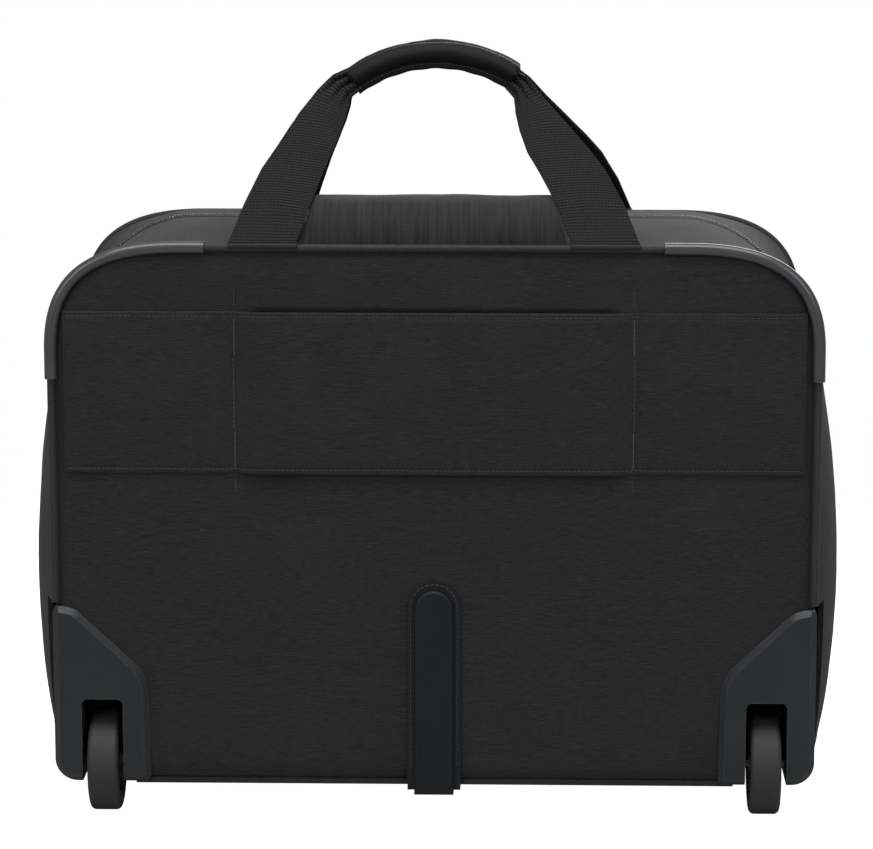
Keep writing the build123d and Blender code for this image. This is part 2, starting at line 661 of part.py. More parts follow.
# ---------------------------------------------------------------- zip sliders
zip_pulls = (
    ("left_main", -6.5, ZIP_DEPTH, ZIP_CROWN, -1),
    ("right_main", 6.5, ZIP_DEPTH, ZIP_CROWN, 1),
    ("pocket", -143.0, sum(POCKET_SLOT) / 2, POCKET_TOP, -1),
)
for name, x, depth, base_z, sign in zip_pulls:
    pin_x = x + 2.2 * sign
    pin_z = base_z + 4.8
    with BuildPart() as slider:
        block((x - 4.5, x + 4.5), (depth - 3.5, depth + 3.5), (base_z + 0.3, base_z + 2.7))
        fillet(slider.edges().filter_by(Axis.Z), 2.0)
        for cheek in (-2.7, 2.7):
            cheek_x = sorted((x + 0.7 * sign, x + 3.7 * sign))
            block(cheek_x, (depth + cheek - 0.5, depth + cheek + 0.5), (base_z + 2.7, base_z + 6.0))
        rod(pin_x, depth, pin_z, 0.8, 6.4, axis=ALONG_Y)
    save(slider.part, f"{name}_slider")

    with BuildPart() as puller:
        neck_x = sorted((pin_x - 1.2 * sign, pin_x + 8 * sign))
        block(neck_x, (depth - 1.9, depth + 1.9), (pin_z - 1.2, pin_z + 1.2))
        tab_x = sorted((pin_x + 8 * sign, pin_x + 30 * sign))
        block(tab_x, (depth - 4.0, depth + 4.0), (pin_z - 0.9, pin_z + 0.9))
        fillet(puller.edges().filter_by(Axis.Z).group_by(Axis.X)[-1 if sign > 0 else 0], 2.5)
        rod(pin_x, depth, pin_z, 0.86, 12, Mode.SUBTRACT, ALONG_Y)
    save(puller.part, f"{name}_puller")
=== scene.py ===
# %% [markdown]
# # A soft rolling laptop case
# The real case is black polyester over foam, with plastic corners, a ribbed plastic skid
# and two webbing carry loops.  The hard parts come from the CAD frame as they are, and
# every soft part is made again here with its thickness, seams, stitches and weave.

# %% Load the fixed frame
import math

import bpy
import numpy as np
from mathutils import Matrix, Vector, noise


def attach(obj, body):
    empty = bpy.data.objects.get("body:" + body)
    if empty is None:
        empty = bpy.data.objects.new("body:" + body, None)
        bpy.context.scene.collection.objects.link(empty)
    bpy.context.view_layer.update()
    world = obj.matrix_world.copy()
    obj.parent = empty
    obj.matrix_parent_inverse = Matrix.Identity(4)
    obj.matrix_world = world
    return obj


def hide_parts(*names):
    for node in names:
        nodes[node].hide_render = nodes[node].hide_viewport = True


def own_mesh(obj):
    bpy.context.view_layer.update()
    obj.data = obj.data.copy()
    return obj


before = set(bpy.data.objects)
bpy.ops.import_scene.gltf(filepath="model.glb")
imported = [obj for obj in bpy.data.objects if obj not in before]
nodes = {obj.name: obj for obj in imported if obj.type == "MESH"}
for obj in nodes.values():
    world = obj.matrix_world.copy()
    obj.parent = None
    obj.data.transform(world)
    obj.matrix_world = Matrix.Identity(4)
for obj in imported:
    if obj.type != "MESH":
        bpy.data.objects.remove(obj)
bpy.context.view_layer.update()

# %% [markdown]
# The case is measured as a bag maker would: across from the middle, deep from the back
# panel's face, and high from the floor, all in millimetres.  `at` turns that into the
# frame's metres, so that every later cell can use the maker's numbers.

# %% Measure in millimetres
CENTRE_DEPTH = 92.0
TRAY_TOP = 46.0
SEAM_HALF = 216.6
SEAM_TOP = 332.0
FRONT_TOP = 328.0


def at(x, depth, z):
    """A point of the case: across, deep and high in mm, given back in metres."""
    return Vector((x, depth - CENTRE_DEPTH, z)) / 1000


def ease(value):
    """0 below 0, 1 above 1 and a smooth step between them."""
    t = min(max(value, 0.0), 1.0)
    return t * t * (3 - 2 * t)


def ripple(x, depth, z, size, height):
    """Soft unevenness of cloth: bumps `size` mm wide and `height` mm high."""
    return height * noise.noise(Vector((x, depth, z)) / size)


# %% [markdown]
# Blender's operators act on whatever is selected, and loading the frame leaves its parts
# selected.  These helpers select one piece, enter and leave edit mode, pick some of its
# edges or faces, and apply one modifier, so that no later step touches a piece by accident.

# %% Helpers for selecting, editing and finishing
def take(piece):
    """Makes this piece the only one selected."""
    if bpy.context.object and bpy.context.object.mode != "OBJECT":
        bpy.ops.object.mode_set(mode="OBJECT")
    bpy.ops.object.select_all(action="DESELECT")
    if piece:
        piece.select_set(True)
        bpy.context.view_layer.objects.active = piece


def edit(piece):
    """Enters edit mode with everything selected."""
    take(piece)
    bpy.ops.object.mode_set(mode="EDIT")
    bpy.ops.mesh.select_all(action="SELECT")


def leave():
    bpy.ops.object.mode_set(mode="OBJECT")


def named(name):
    """Names the piece that an operator has just made, and hands it back."""
    bpy.context.object.name = name
    return bpy.context.object


def apply_modifier(piece, kind, **settings):
    """Adds one modifier with its settings and applies it."""
    take(piece)
    modifier = piece.modifiers.new(kind.title(), kind)
    for name, value in settings.items():
        setattr(modifier, name, value)
    bpy.ops.object.modifier_apply(modifier=modifier.name)


def thicken(piece, thickness, offset=-1, **settings):
    apply_modifier(piece, "SOLIDIFY", thickness=thickness, offset=offset, **settings)


def round_edges(piece, width, **settings):
    apply_modifier(piece, "BEVEL", width=width, segments=2, limit_method="ANGLE", **settings)


def settle(piece):
    """Writes a piece's place into its mesh, so that its object sits at the origin."""
    take(piece)
    bpy.ops.object.transform_apply(location=True, rotation=True, scale=True)


def smooth(piece, degrees):
    take(piece)
    bpy.ops.object.shade_smooth_by_angle(angle=math.radians(degrees))


def join(pieces, name):
    take(pieces[0])
    for piece in pieces[1:]:
        piece.select_set(True)
    bpy.ops.object.join()
    return named(name)


def face_away(piece, centre):
    """Turns an open sheet over if most of it faces a point inside the case."""
    faces = piece.data.polygons
    outward = sum(f.normal.dot(f.center - centre) * f.area for f in faces)
    if outward < 0:
        edit(piece)
        bpy.ops.mesh.flip_normals()
        leave()


def pick(piece, mode, kind, test):
    """Enters edit mode with just the edges or faces selected that pass a test."""
    edit(piece)
    bpy.ops.mesh.select_mode(type=mode)
    bpy.ops.mesh.select_all(action="DESELECT")
    leave()
    for part in getattr(piece.data, kind):
        part.select = test(part)
    bpy.ops.object.mode_set(mode="EDIT")


def delete_faces(piece, test):
    """Deletes the faces whose middle, in mm across, deep and high, passes a test."""

    def passes(face):
        x, y, z = face.center * 1000
        return test(x, y + CENTRE_DEPTH, z)

    pick(piece, "FACE", "polygons", passes)
    bpy.ops.mesh.delete(type="FACE")
    leave()


def cut_window(piece, *spans):
    """Cuts a clean opening: straight cuts across, deep and high, then the faces in it go."""
    edit(piece)
    for axis, span in enumerate(spans):
        for value in span:
            point = [0.0, CENTRE_DEPTH, 0.0]
            point[axis] = value
            normal = [0.0, 0.0, 0.0]
            normal[axis] = 1.0
            bpy.ops.mesh.select_all(action="SELECT")
            bpy.ops.mesh.bisect(plane_co=at(*point), plane_no=normal)
    leave()
    delete_faces(piece, lambda *place: all(low < c < high for c, (low, high) in zip(place, spans)))


def cloth_grid(name, columns, rows, place, inside, size=(1.0, 1.0)):
    """A grid of cloth whose corners go where place(u, v) says, facing away from `inside`.

    size is what its UV map measures, in metres.
    """
    take(None)
    bpy.ops.mesh.primitive_grid_add(
        x_subdivisions=columns, y_subdivisions=rows, size=1, location=(0.5, 0.5, 0)
    )
    piece = named(name)
    settle(piece)
    for vertex in piece.data.vertices:
        vertex.co = place(vertex.co.x, vertex.co.y)
    for corner in piece.data.uv_layers.active.data:
        corner.uv = (corner.uv[0] * size[0], corner.uv[1] * size[1])
    face_away(piece, inside)
    return piece


def dress(piece, material, slot, body, *stood_for):
    """Gives a piece its finish and the body that it moves with; the slot is not used."""
    piece.data.materials.clear()
    piece.data.materials.append(material)
    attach(piece, body)
    if stood_for:
        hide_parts(*stood_for)


# %% [markdown]
# The camera looks at the back of the case from a little above, through a long lens, as a
# catalogue view does.  It is set first.

# %% Camera
camera_data = bpy.data.cameras.new("catalogue_camera")
camera = bpy.data.objects.new("catalogue_camera", camera_data)
bpy.context.scene.collection.objects.link(camera)
camera.location = (0.0516, -2.1419, 0.6302)
look = Vector((0.0, -0.032, 0.220)) - camera.location
camera.rotation_euler = look.to_track_quat("-Z", "Y").to_euler()
camera_data.sensor_width = 36.0
camera_data.lens = 152.6
bpy.context.scene.camera = camera

# %% [markdown]
# Black cloth only reads as cloth when light grazes it, so a wide soft light hangs above the
# case, two stand on either side of the camera, and one lights the front from the far side.
# Floor and surround are plain white to look at, but light the case only dimly.

# %% Studio light and floor
def soft_light(name, place, target, width, height, power):
    """A rectangular lamp, in metres and watts, that points at a target."""
    data = bpy.data.lights.new(name, "AREA")
    data.shape = "RECTANGLE"
    data.size = width
    data.size_y = height
    data.energy = power
    lamp = bpy.data.objects.new(name, data)
    bpy.context.scene.collection.objects.link(lamp)
    lamp.location = place
    aim = Vector(target) - lamp.location
    lamp.rotation_euler = aim.to_track_quat("-Z", "Y").to_euler()


soft_light("overhead_softbox", (0.0, -0.45, 1.75), (0, 0, 0.2), 1.8, 1.2, 27)
soft_light("left_softbox", (-1.5, -2.0, 1.2), (0, 0, 0.25), 0.9, 1.4, 14)
soft_light("right_softbox", (1.6, -1.9, 1.2), (0, 0, 0.25), 0.7, 1.3, 10)
soft_light("far_softbox", (0.5, 2.2, 1.1), (0, 0, 0.2), 1.6, 1.2, 24)

world = bpy.data.worlds.new("white_surround")
world.use_nodes = True
sky = world.node_tree
sky.nodes["Background"].inputs["Color"].default_value = (1.0, 1.0, 1.0, 1)
seen = sky.nodes.new("ShaderNodeLightPath").outputs["Is Camera Ray"]
brightness = sky.nodes.new("ShaderNodeMapRange")
brightness.inputs["To Min"].default_value = 0.31
brightness.inputs["To Max"].default_value = 1.0
sky.links.new(seen, brightness.inputs["Value"])
sky.links.new(brightness.outputs["Result"], sky.nodes["Background"].inputs["Strength"])
bpy.context.scene.world = world
bpy.context.scene.view_settings.view_transform = "Standard"

take(None)
bpy.ops.mesh.primitive_circle_add(vertices=96, radius=0.85, fill_type="NGON")
floor = named("floor")
floor_paint = bpy.data.materials.new("pale_floor")
floor_paint.use_nodes = True
floor_shader = floor_paint.node_tree.nodes["Principled BSDF"]
floor_shader.inputs["Base Color"].default_value = (0.42, 0.42, 0.42, 1)
floor_shader.inputs["Roughness"].default_value = 0.75
floor_shader.inputs["Emission Color"].default_value = (1, 1, 1, 1)
looked_at = floor_paint.node_tree.nodes.new("ShaderNodeLightPath").outputs["Is Camera Ray"]
floor_paint.node_tree.links.new(looked_at, floor_shader.inputs["Emission Strength"])
floor.data.materials.append(floor_paint)

# %% [markdown]
# Several finishes share the same effects.  Each effect is one node group with named
# sockets, built once: slubby cloth, ribbed webbing, moulded grain, rubbed edges and dust.
# Groups give out only masks and heights; the shader itself stays in each material.

# %% Small helpers for shader trees
class Bench:
    """Adds nodes to one shader tree."""

    def __init__(self, tree):
        self.tree = tree

    def feed(self, socket, value):
        """Links a socket to another one, or sets it to a constant."""
        if isinstance(value, bpy.types.NodeSocket):
            self.tree.links.new(value, socket)
        else:
            socket.default_value = value

    def add(self, kind, **inputs):
        """A new node; its inputs go by name, with underscores for spaces."""
        node = self.tree.nodes.new("ShaderNode" + kind)
        for name, value in inputs.items():
            self.feed(node.inputs[name.replace("_", " ")], value)
        return node

    def maths(self, operation, *values, kind="Math"):
        """One Math or VectorMath node, fed in order."""
        node = self.add(kind)
        node.operation = operation
        for socket, value in zip(node.inputs, values):
            self.feed(socket, value)
        return node.outputs["Value" if kind == "Math" or operation == "DOT_PRODUCT" else "Vector"]

    def times(self, a, b):
        return self.maths("MULTIPLY", a, b)

    def plus(self, a, share, b):
        """a times its share, plus b."""
        return self.maths("MULTIPLY_ADD", a, share, b)

    def wave(self, count):
        """A sine that changes sign once in each whole step of count."""
        return self.maths("SINE", self.times(count, math.pi))

    def axes(self, vector):
        return self.add("SeparateXYZ", Vector=vector).outputs

    def noise(self, vector, scale, detail=2.0, roughness=0.5):
        node = self.add("TexNoise", Vector=vector, Scale=scale, Detail=detail, Roughness=roughness)
        return node.outputs["Fac"]

    def spread(self, value, low, high, to_low=0.0, to_high=1.0):
        """Stretches low..high to to_low..to_high."""
        node = self.add(
            "MapRange", Value=value, From_Min=low, From_Max=high, To_Min=to_low, To_Max=to_high
        )
        return node.outputs["Result"]


class Group(Bench):
    """A node group under construction; `given` are its inputs."""

    def __init__(self, name, inputs, outputs):
        super().__init__(bpy.data.node_groups.new(name, "ShaderNodeTree"))
        for label, value in {"Vector": (0, 0, 0), **inputs}.items():
            kind = "NodeSocketVector" if isinstance(value, tuple) else "NodeSocketFloat"
            socket = self.tree.interface.new_socket(label, in_out="INPUT", socket_type=kind)
            socket.default_value = value
        for label in outputs:
            self.tree.interface.new_socket(label, in_out="OUTPUT", socket_type="NodeSocketFloat")
        self.given = self.tree.nodes.new("NodeGroupInput").outputs
        self.place = self.given["Vector"]
        self.results = self.tree.nodes.new("NodeGroupOutput").inputs

    def close(self, **outputs):
        """Links the group's outputs and hands its tree back."""
        for label, socket in outputs.items():
            self.tree.links.new(socket, self.results[label])
        print(self.tree.name, "has", len(self.tree.nodes), "nodes")
        return self.tree


# %% [markdown]
# The shell cloth is a plain weave of uneven yarns.  The thick places, or slubs, draw short
# light dashes along the yarn, so the cloth is a noise stretched along one direction, a fine
# thread pattern over it, and a slow drift of tone from one area to the next.

# %% Node group: slubby cloth
cloth = Group("slub_cloth", {"Yarn": (170, 1500, 1500), "Threads": 1450.0}, ["Tone", "Height"])
stretched = cloth.maths("MULTIPLY", cloth.place, cloth.given["Yarn"], kind="VectorMath")
dashes = cloth.spread(cloth.noise(stretched, 1.0, 3.0, 0.6), 0.36, 0.66)
specks = cloth.noise(cloth.place, 1900.0, 1.0)
drift = cloth.noise(cloth.place, 22.0, 3.0)
threads = cloth.axes(cloth.place)
across, deep, high = (
    cloth.wave(cloth.times(threads[i], cloth.given["Threads"])) for i in range(3)
)
crossing = cloth.maths("ADD", cloth.times(across, high), cloth.times(deep, high))
slub_cloth = cloth.close(
    Tone=cloth.plus(drift, 0.35, cloth.plus(dashes, 0.55, cloth.times(specks, 0.25))),
    Height=cloth.plus(crossing, 0.22, cloth.plus(dashes, 0.6, specks)),
)

# %% [markdown]
# Carry webbing is a heavy tape whose weft makes ribs straight across it, each rib broken
# by the warp into small dots that shift by half a step from rib to rib.  It follows the
# strap, so it reads the strap's own UV map, in metres.

# %% Node group: ribbed webbing
tape = Group("rib_tape", {"Ribs": 560.0, "Dots": 560.0}, ["Tone", "Height"])
across, along, _ = tape.axes(tape.place)
wobble = tape.times(tape.noise(tape.place, 60.0, 2.0), 0.0012)
rib_count = tape.times(tape.maths("ADD", along, wobble), tape.given["Ribs"])
rib = tape.maths("ABSOLUTE", tape.wave(rib_count))
half_step = tape.times(tape.maths("FLOOR", rib_count), 0.5)
dot = tape.maths("ABSOLUTE", tape.wave(tape.plus(across, tape.given["Dots"], half_step)))
fuzz = tape.noise(tape.place, 1600.0, 2.0)
raised = tape.times(rib, tape.plus(dot, 0.65, 0.35))
rib_tape = tape.close(
    Tone=tape.plus(fuzz, 0.35, tape.times(raised, 0.8)), Height=tape.plus(fuzz, 0.2, raised)
)

# %% [markdown]
# Moulded plastic carries a fine spark-eroded grain: tiny cells with soft walls over a
# slower orange-peel.  Rubber takes the same group with a coarser scale.

# %% Node group: moulded grain
grain = Group("mould_grain", {"Cells": 1500.0}, ["Tone", "Height"])
cells = grain.add("TexVoronoi", Vector=grain.place)
cells.feature = "SMOOTH_F1"
grain.feed(cells.inputs["Scale"], grain.given["Cells"])
peel = grain.noise(grain.place, 260.0, 3.0)
patch = grain.noise(grain.place, 35.0, 4.0)
mould_grain = grain.close(
    Tone=grain.plus(patch, 0.6, grain.times(peel, 0.4)),
    Height=grain.plus(peel, 0.5, cells.outputs["Distance"]),
)

# %% [markdown]
# Corners that meet kerbs and lift floors are rubbed paler, and the same paler edge is also a
# painted highlight where chamfers catch the light.  A Bevel node
# turns the normal near an edge, so where it differs from the true one there is an edge,
# and a noise breaks the line so that it isn't an even outline.  Dust is the
# other way round: it lies where a surface faces up.

# %% Node groups: rubbed edges with a painted highlight, and settled dust
edge = Group("rubbed_edge", {"Amount": 0.5}, ["Mask"])
rounded = edge.add("Bevel", Radius=0.0013)
rounded.samples = 4
true_normal = edge.add("NewGeometry").outputs["Normal"]
likeness = edge.maths("DOT_PRODUCT", rounded.outputs["Normal"], true_normal, kind="VectorMath")
broken = edge.spread(edge.noise(edge.place, 180.0, 4.0), 0.35, 0.62)
# Edge mask: rubbed wear, and partly a painted highlight where chamfers catch the light.
worn_and_highlit = edge.times(edge.spread(likeness, 0.995, 0.86), broken)
rubbed_edge = edge.close(Mask=edge.times(worn_and_highlit, edge.given["Amount"]))

dust = Group("settled_dust", {"Amount": 0.2}, ["Mask"])
upward = dust.spread(dust.axes(dust.add("NewGeometry").outputs["Normal"])[2], -0.2, 1.0)
lint = dust.spread(dust.noise(dust.place, 420.0, 5.0, 0.7), 0.45, 0.75)
film = dust.times(dust.plus(lint, 0.7, 0.3), upward)
settled_dust = dust.close(Mask=dust.times(film, dust.given["Amount"]))

# %% [markdown]
# One function lays out every finish: coordinates, a pattern group, two colours mixed by
# its tone, dust or paler edges over that (rubbed wear, and partly a painted highlight), and a bump
# from its height.  What differs is in the arguments, and the constant gloss values go straight on
# the shader's sockets.

# %% Build a finish from a pattern group
DUST = (0.16, 0.16, 0.165)


def finish_of(
    name, pattern, dark, light, rough, bump, settings=(), uv=False, wear_and_highlight=0.0, dust=0.0, **gloss,
):
    """A material whose colour, roughness and bump come from one pattern group."""
    material = bpy.data.materials.new(name)
    material.use_nodes = True
    bench = Bench(material.node_tree)
    shader = bench.tree.nodes["Principled BSDF"]
    coordinates = bench.add("TexCoord").outputs

    def use(group, vector, **inputs):
        node = bench.add("Group")
        node.node_tree = group
        for label, value in {"Vector": vector, **inputs}.items():
            bench.feed(node.inputs[label], value)
        return node.outputs

    def mix(factor, a, b):
        node = bench.add("Mix")
        node.data_type = "RGBA"
        for label, value in (("Factor", factor), ("A", a), ("B", b)):
            bench.feed(node.inputs[label], value)
        return node.outputs["Result"]

    weave = use(pattern, coordinates["UV" if uv else "Object"], **dict(settings))
    shade = mix(bench.spread(weave["Tone"], 0.2, 0.95), (*dark, 1), (*light, 1))
    # Paler edge colour: bare rubbed plastic, and partly a painted highlight on edges and chamfers.
    bare_and_highlight = [min(c * 1.9 + 0.015, 1) for c in light]
    for effect, amount, paint in ((settled_dust, dust, DUST), (rubbed_edge, wear_and_highlight, bare_and_highlight)):
        if amount:
            mask = use(effect, coordinates["Object"], Amount=amount)["Mask"]
            shade = mix(mask, shade, (*paint, 1))
    strength, distance = bump
    relief = bench.add("Bump", Height=weave["Height"], Strength=strength, Distance=distance)
    bench.feed(shader.inputs["Base Color"], shade)
    bench.feed(shader.inputs["Roughness"], bench.spread(weave["Tone"], 0.2, 0.95, *rough))
    bench.feed(shader.inputs["Normal"], relief.outputs["Normal"])
    for socket, value in gloss.items():
        shader.inputs[socket.replace("_", " ")].default_value = value
    return material


# %% [markdown]
# The same cloth is cut three ways: its slubs run across on the panels and the sleeve, from
# back to front on the gusset, and over the top on the handle's cover.  A little sheen
# stands for the fuzz of the yarn.

# %% Cloth finishes
ACROSS = {"Yarn": (200, 1500, 1900)}
BACK_TO_FRONT = {"Yarn": (620, 22, 620)}
OVER_THE_TOP = {"Yarn": (640, 16, 30)}
CLOTH_DARK, CLOTH_LIGHT = (0.0075, 0.0075, 0.0088), (0.028, 0.028, 0.0305)
cloth_gloss = {"Sheen_Weight": 0.05, "Sheen_Roughness": 0.5, "Specular_IOR_Level": 0.2}


def shell_cloth(name, relief, yarn, dust=0.05):
    """The body's cloth; its bands differ only in the way that the yarns run."""
    return finish_of(
        name, slub_cloth, CLOTH_DARK, CLOTH_LIGHT, (0.75, 0.9), (relief, 0.0003), yarn, dust=dust,
        **cloth_gloss,
    )


back_cloth = shell_cloth("back_cloth", 0.45, ACROSS)
gusset_cloth = shell_cloth("gusset_cloth", 0.5, BACK_TO_FRONT, dust=0.06)
hump_cloth = shell_cloth("hump_cloth", 0.6, OVER_THE_TOP)
base_cloth = finish_of(
    "base_cloth", slub_cloth, (0.010, 0.010, 0.011), (0.025, 0.025, 0.027), (0.7, 0.85),
    (0.6, 0.0004), {"Yarn": (700, 700, 700), "Threads": 900.0}, dust=0.08, **cloth_gloss,
)
front_cloth = shell_cloth("front_cloth", 0.45, ACROSS)
piping_cloth = finish_of(
    "piping_cloth", slub_cloth, (0.012, 0.012, 0.0135), (0.034, 0.034, 0.037), (0.55, 0.75),
    (0.5, 0.0003), {"Yarn": (900, 900, 900), "Threads": 1200.0}, Sheen_Weight=0.06,
    Specular_IOR_Level=0.3,
)
wrap_cloth = finish_of(
    "wrap_cloth", slub_cloth, (0.0028, 0.0028, 0.0033), (0.008, 0.008, 0.009), (0.5, 0.68),
    (0.3, 0.0003), {"Yarn": (500, 1300, 1300)}, dust=0.02, Sheen_Weight=0.02,
    Specular_IOR_Level=0.17,
)
lining_cloth = finish_of(
    "lining_cloth", slub_cloth, (0.045, 0.046, 0.05), (0.09, 0.092, 0.1), (0.5, 0.7),
    (0.3, 0.0002), {"Yarn": (900, 900, 500), "Threads": 1700.0}, Sheen_Weight=0.1,
)
tape_cloth = finish_of(
    "tape_cloth", rib_tape, (0.010, 0.010, 0.011), (0.03, 0.03, 0.032), (0.6, 0.8), (0.4, 0.0002),
    {"Ribs": 900.0, "Dots": 900.0}, uv=True,
)
web_tape = finish_of(
    "web_tape", rib_tape, (0.002, 0.002, 0.0024), (0.026, 0.026, 0.027), (0.55, 0.8),
    (0.9, 0.0005), uv=True, Sheen_Weight=0.02, Specular_IOR_Level=0.12,
)
root_tape = finish_of(
    "root_tape", slub_cloth, (0.006, 0.006, 0.0068), (0.014, 0.014, 0.015), (0.6, 0.8),
    (0.5, 0.0003), {"Yarn": (300, 1500, 1500)},
)
thread_finish = finish_of(
    "sewing_thread", slub_cloth, (0.016, 0.016, 0.018), (0.042, 0.042, 0.045), (0.45, 0.65),
    (0.3, 0.0001), {"Yarn": (2500, 2500, 2500)}, Sheen_Weight=0.2,
)
tack_finish = finish_of(
    "bar_tack_thread", slub_cloth, (0.05, 0.05, 0.053), (0.12, 0.12, 0.125), (0.45, 0.65),
    (0.3, 0.0001), {"Yarn": (2500, 2500, 2500)},
)

# %% [markdown]
# The hard finishes are moulded plastic in slightly different greys, tyre rubber, steel and
# drawn aluminium.  Plastic at the floor is scuffed, so it gets rubbed edges and dust; on the
# wheel corners the paler edges also paint a highlight along the chamfers.

# %% Hard finishes
guard_plastic = finish_of(
    "guard_plastic", mould_grain, (0.040, 0.042, 0.045), (0.054, 0.057, 0.061), (0.2, 0.28),
    (0.08, 0.0002), Specular_IOR_Level=0.6,
)
# The strong edge mask here paints a highlight along the chamfers where the light catches them, over
# real rubbing at the floor.
corner_plastic = finish_of(
    "corner_plastic", mould_grain, (0.0138, 0.0153, 0.0170), (0.0235, 0.0262, 0.029), (0.32, 0.44),
    (0.22, 0.00025), wear_and_highlight=0.95, dust=0.05, Specular_IOR_Level=0.3,
)
skid_plastic = finish_of(
    "skid_plastic", mould_grain, (0.0042, 0.006, 0.0073), (0.0078, 0.0105, 0.0122), (0.42, 0.56),
    (0.18, 0.00025), wear_and_highlight=0.5, Specular_IOR_Level=0.25,
)
board_plastic = finish_of(
    "board_plastic", mould_grain, (0.02, 0.02, 0.021), (0.035, 0.035, 0.037), (0.5, 0.7),
    (0.3, 0.0003), {"Cells": 700.0},
)
bracket_plastic = finish_of(
    "bracket_plastic", mould_grain, (0.018, 0.018, 0.019), (0.03, 0.03, 0.032), (0.4, 0.55),
    (0.2, 0.0002), wear_and_highlight=0.5,
)
grip_plastic = finish_of(
    "grip_plastic", mould_grain, (0.015, 0.015, 0.016), (0.026, 0.026, 0.028), (0.35, 0.5),
    (0.2, 0.0002), wear_and_highlight=0.15,
)
button_plastic = finish_of(
    "button_plastic", mould_grain, (0.09, 0.09, 0.095), (0.13, 0.13, 0.135), (0.3, 0.42),
    (0.15, 0.0002), wear_and_highlight=0.5,
)
tyre_rubber = finish_of(
    "tyre_rubber", mould_grain, (0.013, 0.0137, 0.015), (0.024, 0.0253, 0.0273), (0.55, 0.75),
    (0.35, 0.0003), {"Cells": 900.0}, wear_and_highlight=0.5, dust=0.1,
)
hub_plastic = finish_of(
    "hub_plastic", mould_grain, (0.02, 0.021, 0.022), (0.032, 0.033, 0.035), (0.4, 0.55),
    (0.2, 0.0002), wear_and_highlight=0.5,
)
foot_rubber = finish_of(
    "foot_rubber", mould_grain, (0.014, 0.014, 0.015), (0.026, 0.026, 0.027), (0.6, 0.8),
    (0.35, 0.0003), {"Cells": 800.0}, wear_and_highlight=0.5, dust=0.08,
)
puller_rubber = finish_of(
    "puller_rubber", mould_grain, (0.014, 0.014, 0.015), (0.024, 0.024, 0.026), (0.45, 0.6),
    (0.25, 0.0002), wear_and_highlight=0.5,
)
steel = finish_of(
    "zinc_steel", mould_grain, (0.48, 0.48, 0.47), (0.62, 0.62, 0.61), (0.28, 0.45), (0.1, 0.0001),
    {"Cells": 2200.0}, Metallic=1.0,
)
dark_metal = finish_of(
    "gunmetal", mould_grain, (0.10, 0.10, 0.105), (0.17, 0.17, 0.175), (0.28, 0.42), (0.1, 0.0001),
    {"Cells": 2200.0}, wear_and_highlight=0.5, Metallic=1.0,
)
tube_metal = finish_of(
    "drawn_aluminium", slub_cloth, (0.50, 0.505, 0.515), (0.66, 0.665, 0.68), (0.22, 0.38),
    (0.08, 0.0001), {"Yarn": (1800, 1800, 12), "Threads": 300.0}, Metallic=1.0,
)

# %% [markdown]
# The hard CAD parts already have the right shape.  Each takes a finish from this list; its
# mesh is left alone, because the frame has to stay as it was packed.

# %% Paint the CAD parts that stay
painted = {
    guard_plastic: ["left_edge_guard", "right_edge_guard"],
    corner_plastic: ["left_wheel_housing", "right_wheel_housing"],
    skid_plastic: ["kick_plate"],
    foot_rubber: ["front_feet"],
    steel: ["corner_screws", "bracket_screws", "button_spring", "release_rods"],
    board_plastic: ["back_board", "bottom_board"],
    tube_metal: ["outer_tubes", "stage_1_tubes", "stage_2_tubes", "stage_3_tubes"],
    bracket_plastic: [
        "handle_bezel", "handle_base", "stage_1_plugs", "stage_2_plugs", "stage_3_plugs"
    ],
    grip_plastic: ["handle_grip"],
    button_plastic: [
        "release_button", "stage_1_lock_pins", "stage_2_lock_pins", "stage_3_lock_pins"
    ],
    tyre_rubber: ["left_tyre", "right_tyre"],
    hub_plastic: ["left_hub", "right_hub"],
    dark_metal: [
        "wheel_axles", "left_bearings", "right_bearings",
        "left_main_slider", "right_main_slider", "pocket_slider",
    ],
    puller_rubber: ["left_main_puller", "right_main_puller", "pocket_puller"],
}
for material, names in painted.items():
    for name in names:
        for place in nodes[name].material_slots:
            place.material = material
print("painted", sum(len(names) for names in painted.values()), "CAD parts")

# %% [markdown]
# The body's outline is narrow at both seams and swells between them.  `half_outline` draws
# the right half at one depth, from the floor's middle round the side to the top's middle,
# from the same control points as the CAD, so that cloth and frame agree everywhere.

# %% The body's outline at any depth
def curve(p0, p1, p2, p3, steps=24):
    """Points along a Bezier curve, without its first."""
    t = np.linspace(0, 1, steps + 1)[1:, None]
    p0, p1, p2, p3 = map(np.array, (p0, p1, p2, p3))
    return (1 - t) ** 3 * p0 + 3 * (1 - t) ** 2 * t * p1 + 3 * (1 - t) * t**2 * p2 + t**3 * p3


def half_outline(swell, crown, inset=0.0):
    low, top = 20.0 + inset, crown - inset
    base = SEAM_HALF + 9.0 * swell - inset
    shoulder = SEAM_HALF + 4.5 * swell - inset
    foot = 22.0 - inset
    knee = crown - 58.0 - 21.0 * swell
    turn = np.linspace(0, math.pi / 2, 12)
    rounding = np.stack([base - foot + foot * np.sin(turn), low + foot - foot * np.cos(turn)], 1)
    side = curve(
        (base, low + foot), (base + 12.25 * swell, low + 60), (shoulder + 19.6 * swell, knee - 85),
        (shoulder, knee),
    )
    corner = curve(
        (shoulder, knee),
        (shoulder - 6.0 * swell, knee + 40 - 3 * swell),
        (shoulder - 22.5 - 17.0 * swell, top),
        (shoulder - 73.0 - 6.5 * swell, top),
    )
    return np.vstack([[(0, low)], rounding, side, corner, [(0, top)]])


REAR_FIT = np.polyfit((4, 45, 90), np.array(((0, 0.75, 1), (332, 336, 337.5))).T, 2)
FRONT_FIT = np.polyfit((102, 140, 176), np.array(((1, 0.8, 0), (337.5, 335, 328))).T, 2)


def section(depth):
    """How far the sides swell (0 to 1) and how high the top is, at a depth."""
    if 90 < depth < 102:
        return 1.0, 337.5
    fit = REAR_FIT if depth <= 90 else FRONT_FIT
    return tuple(fit[0] * depth**2 + fit[1] * depth + fit[2])


rails = {}


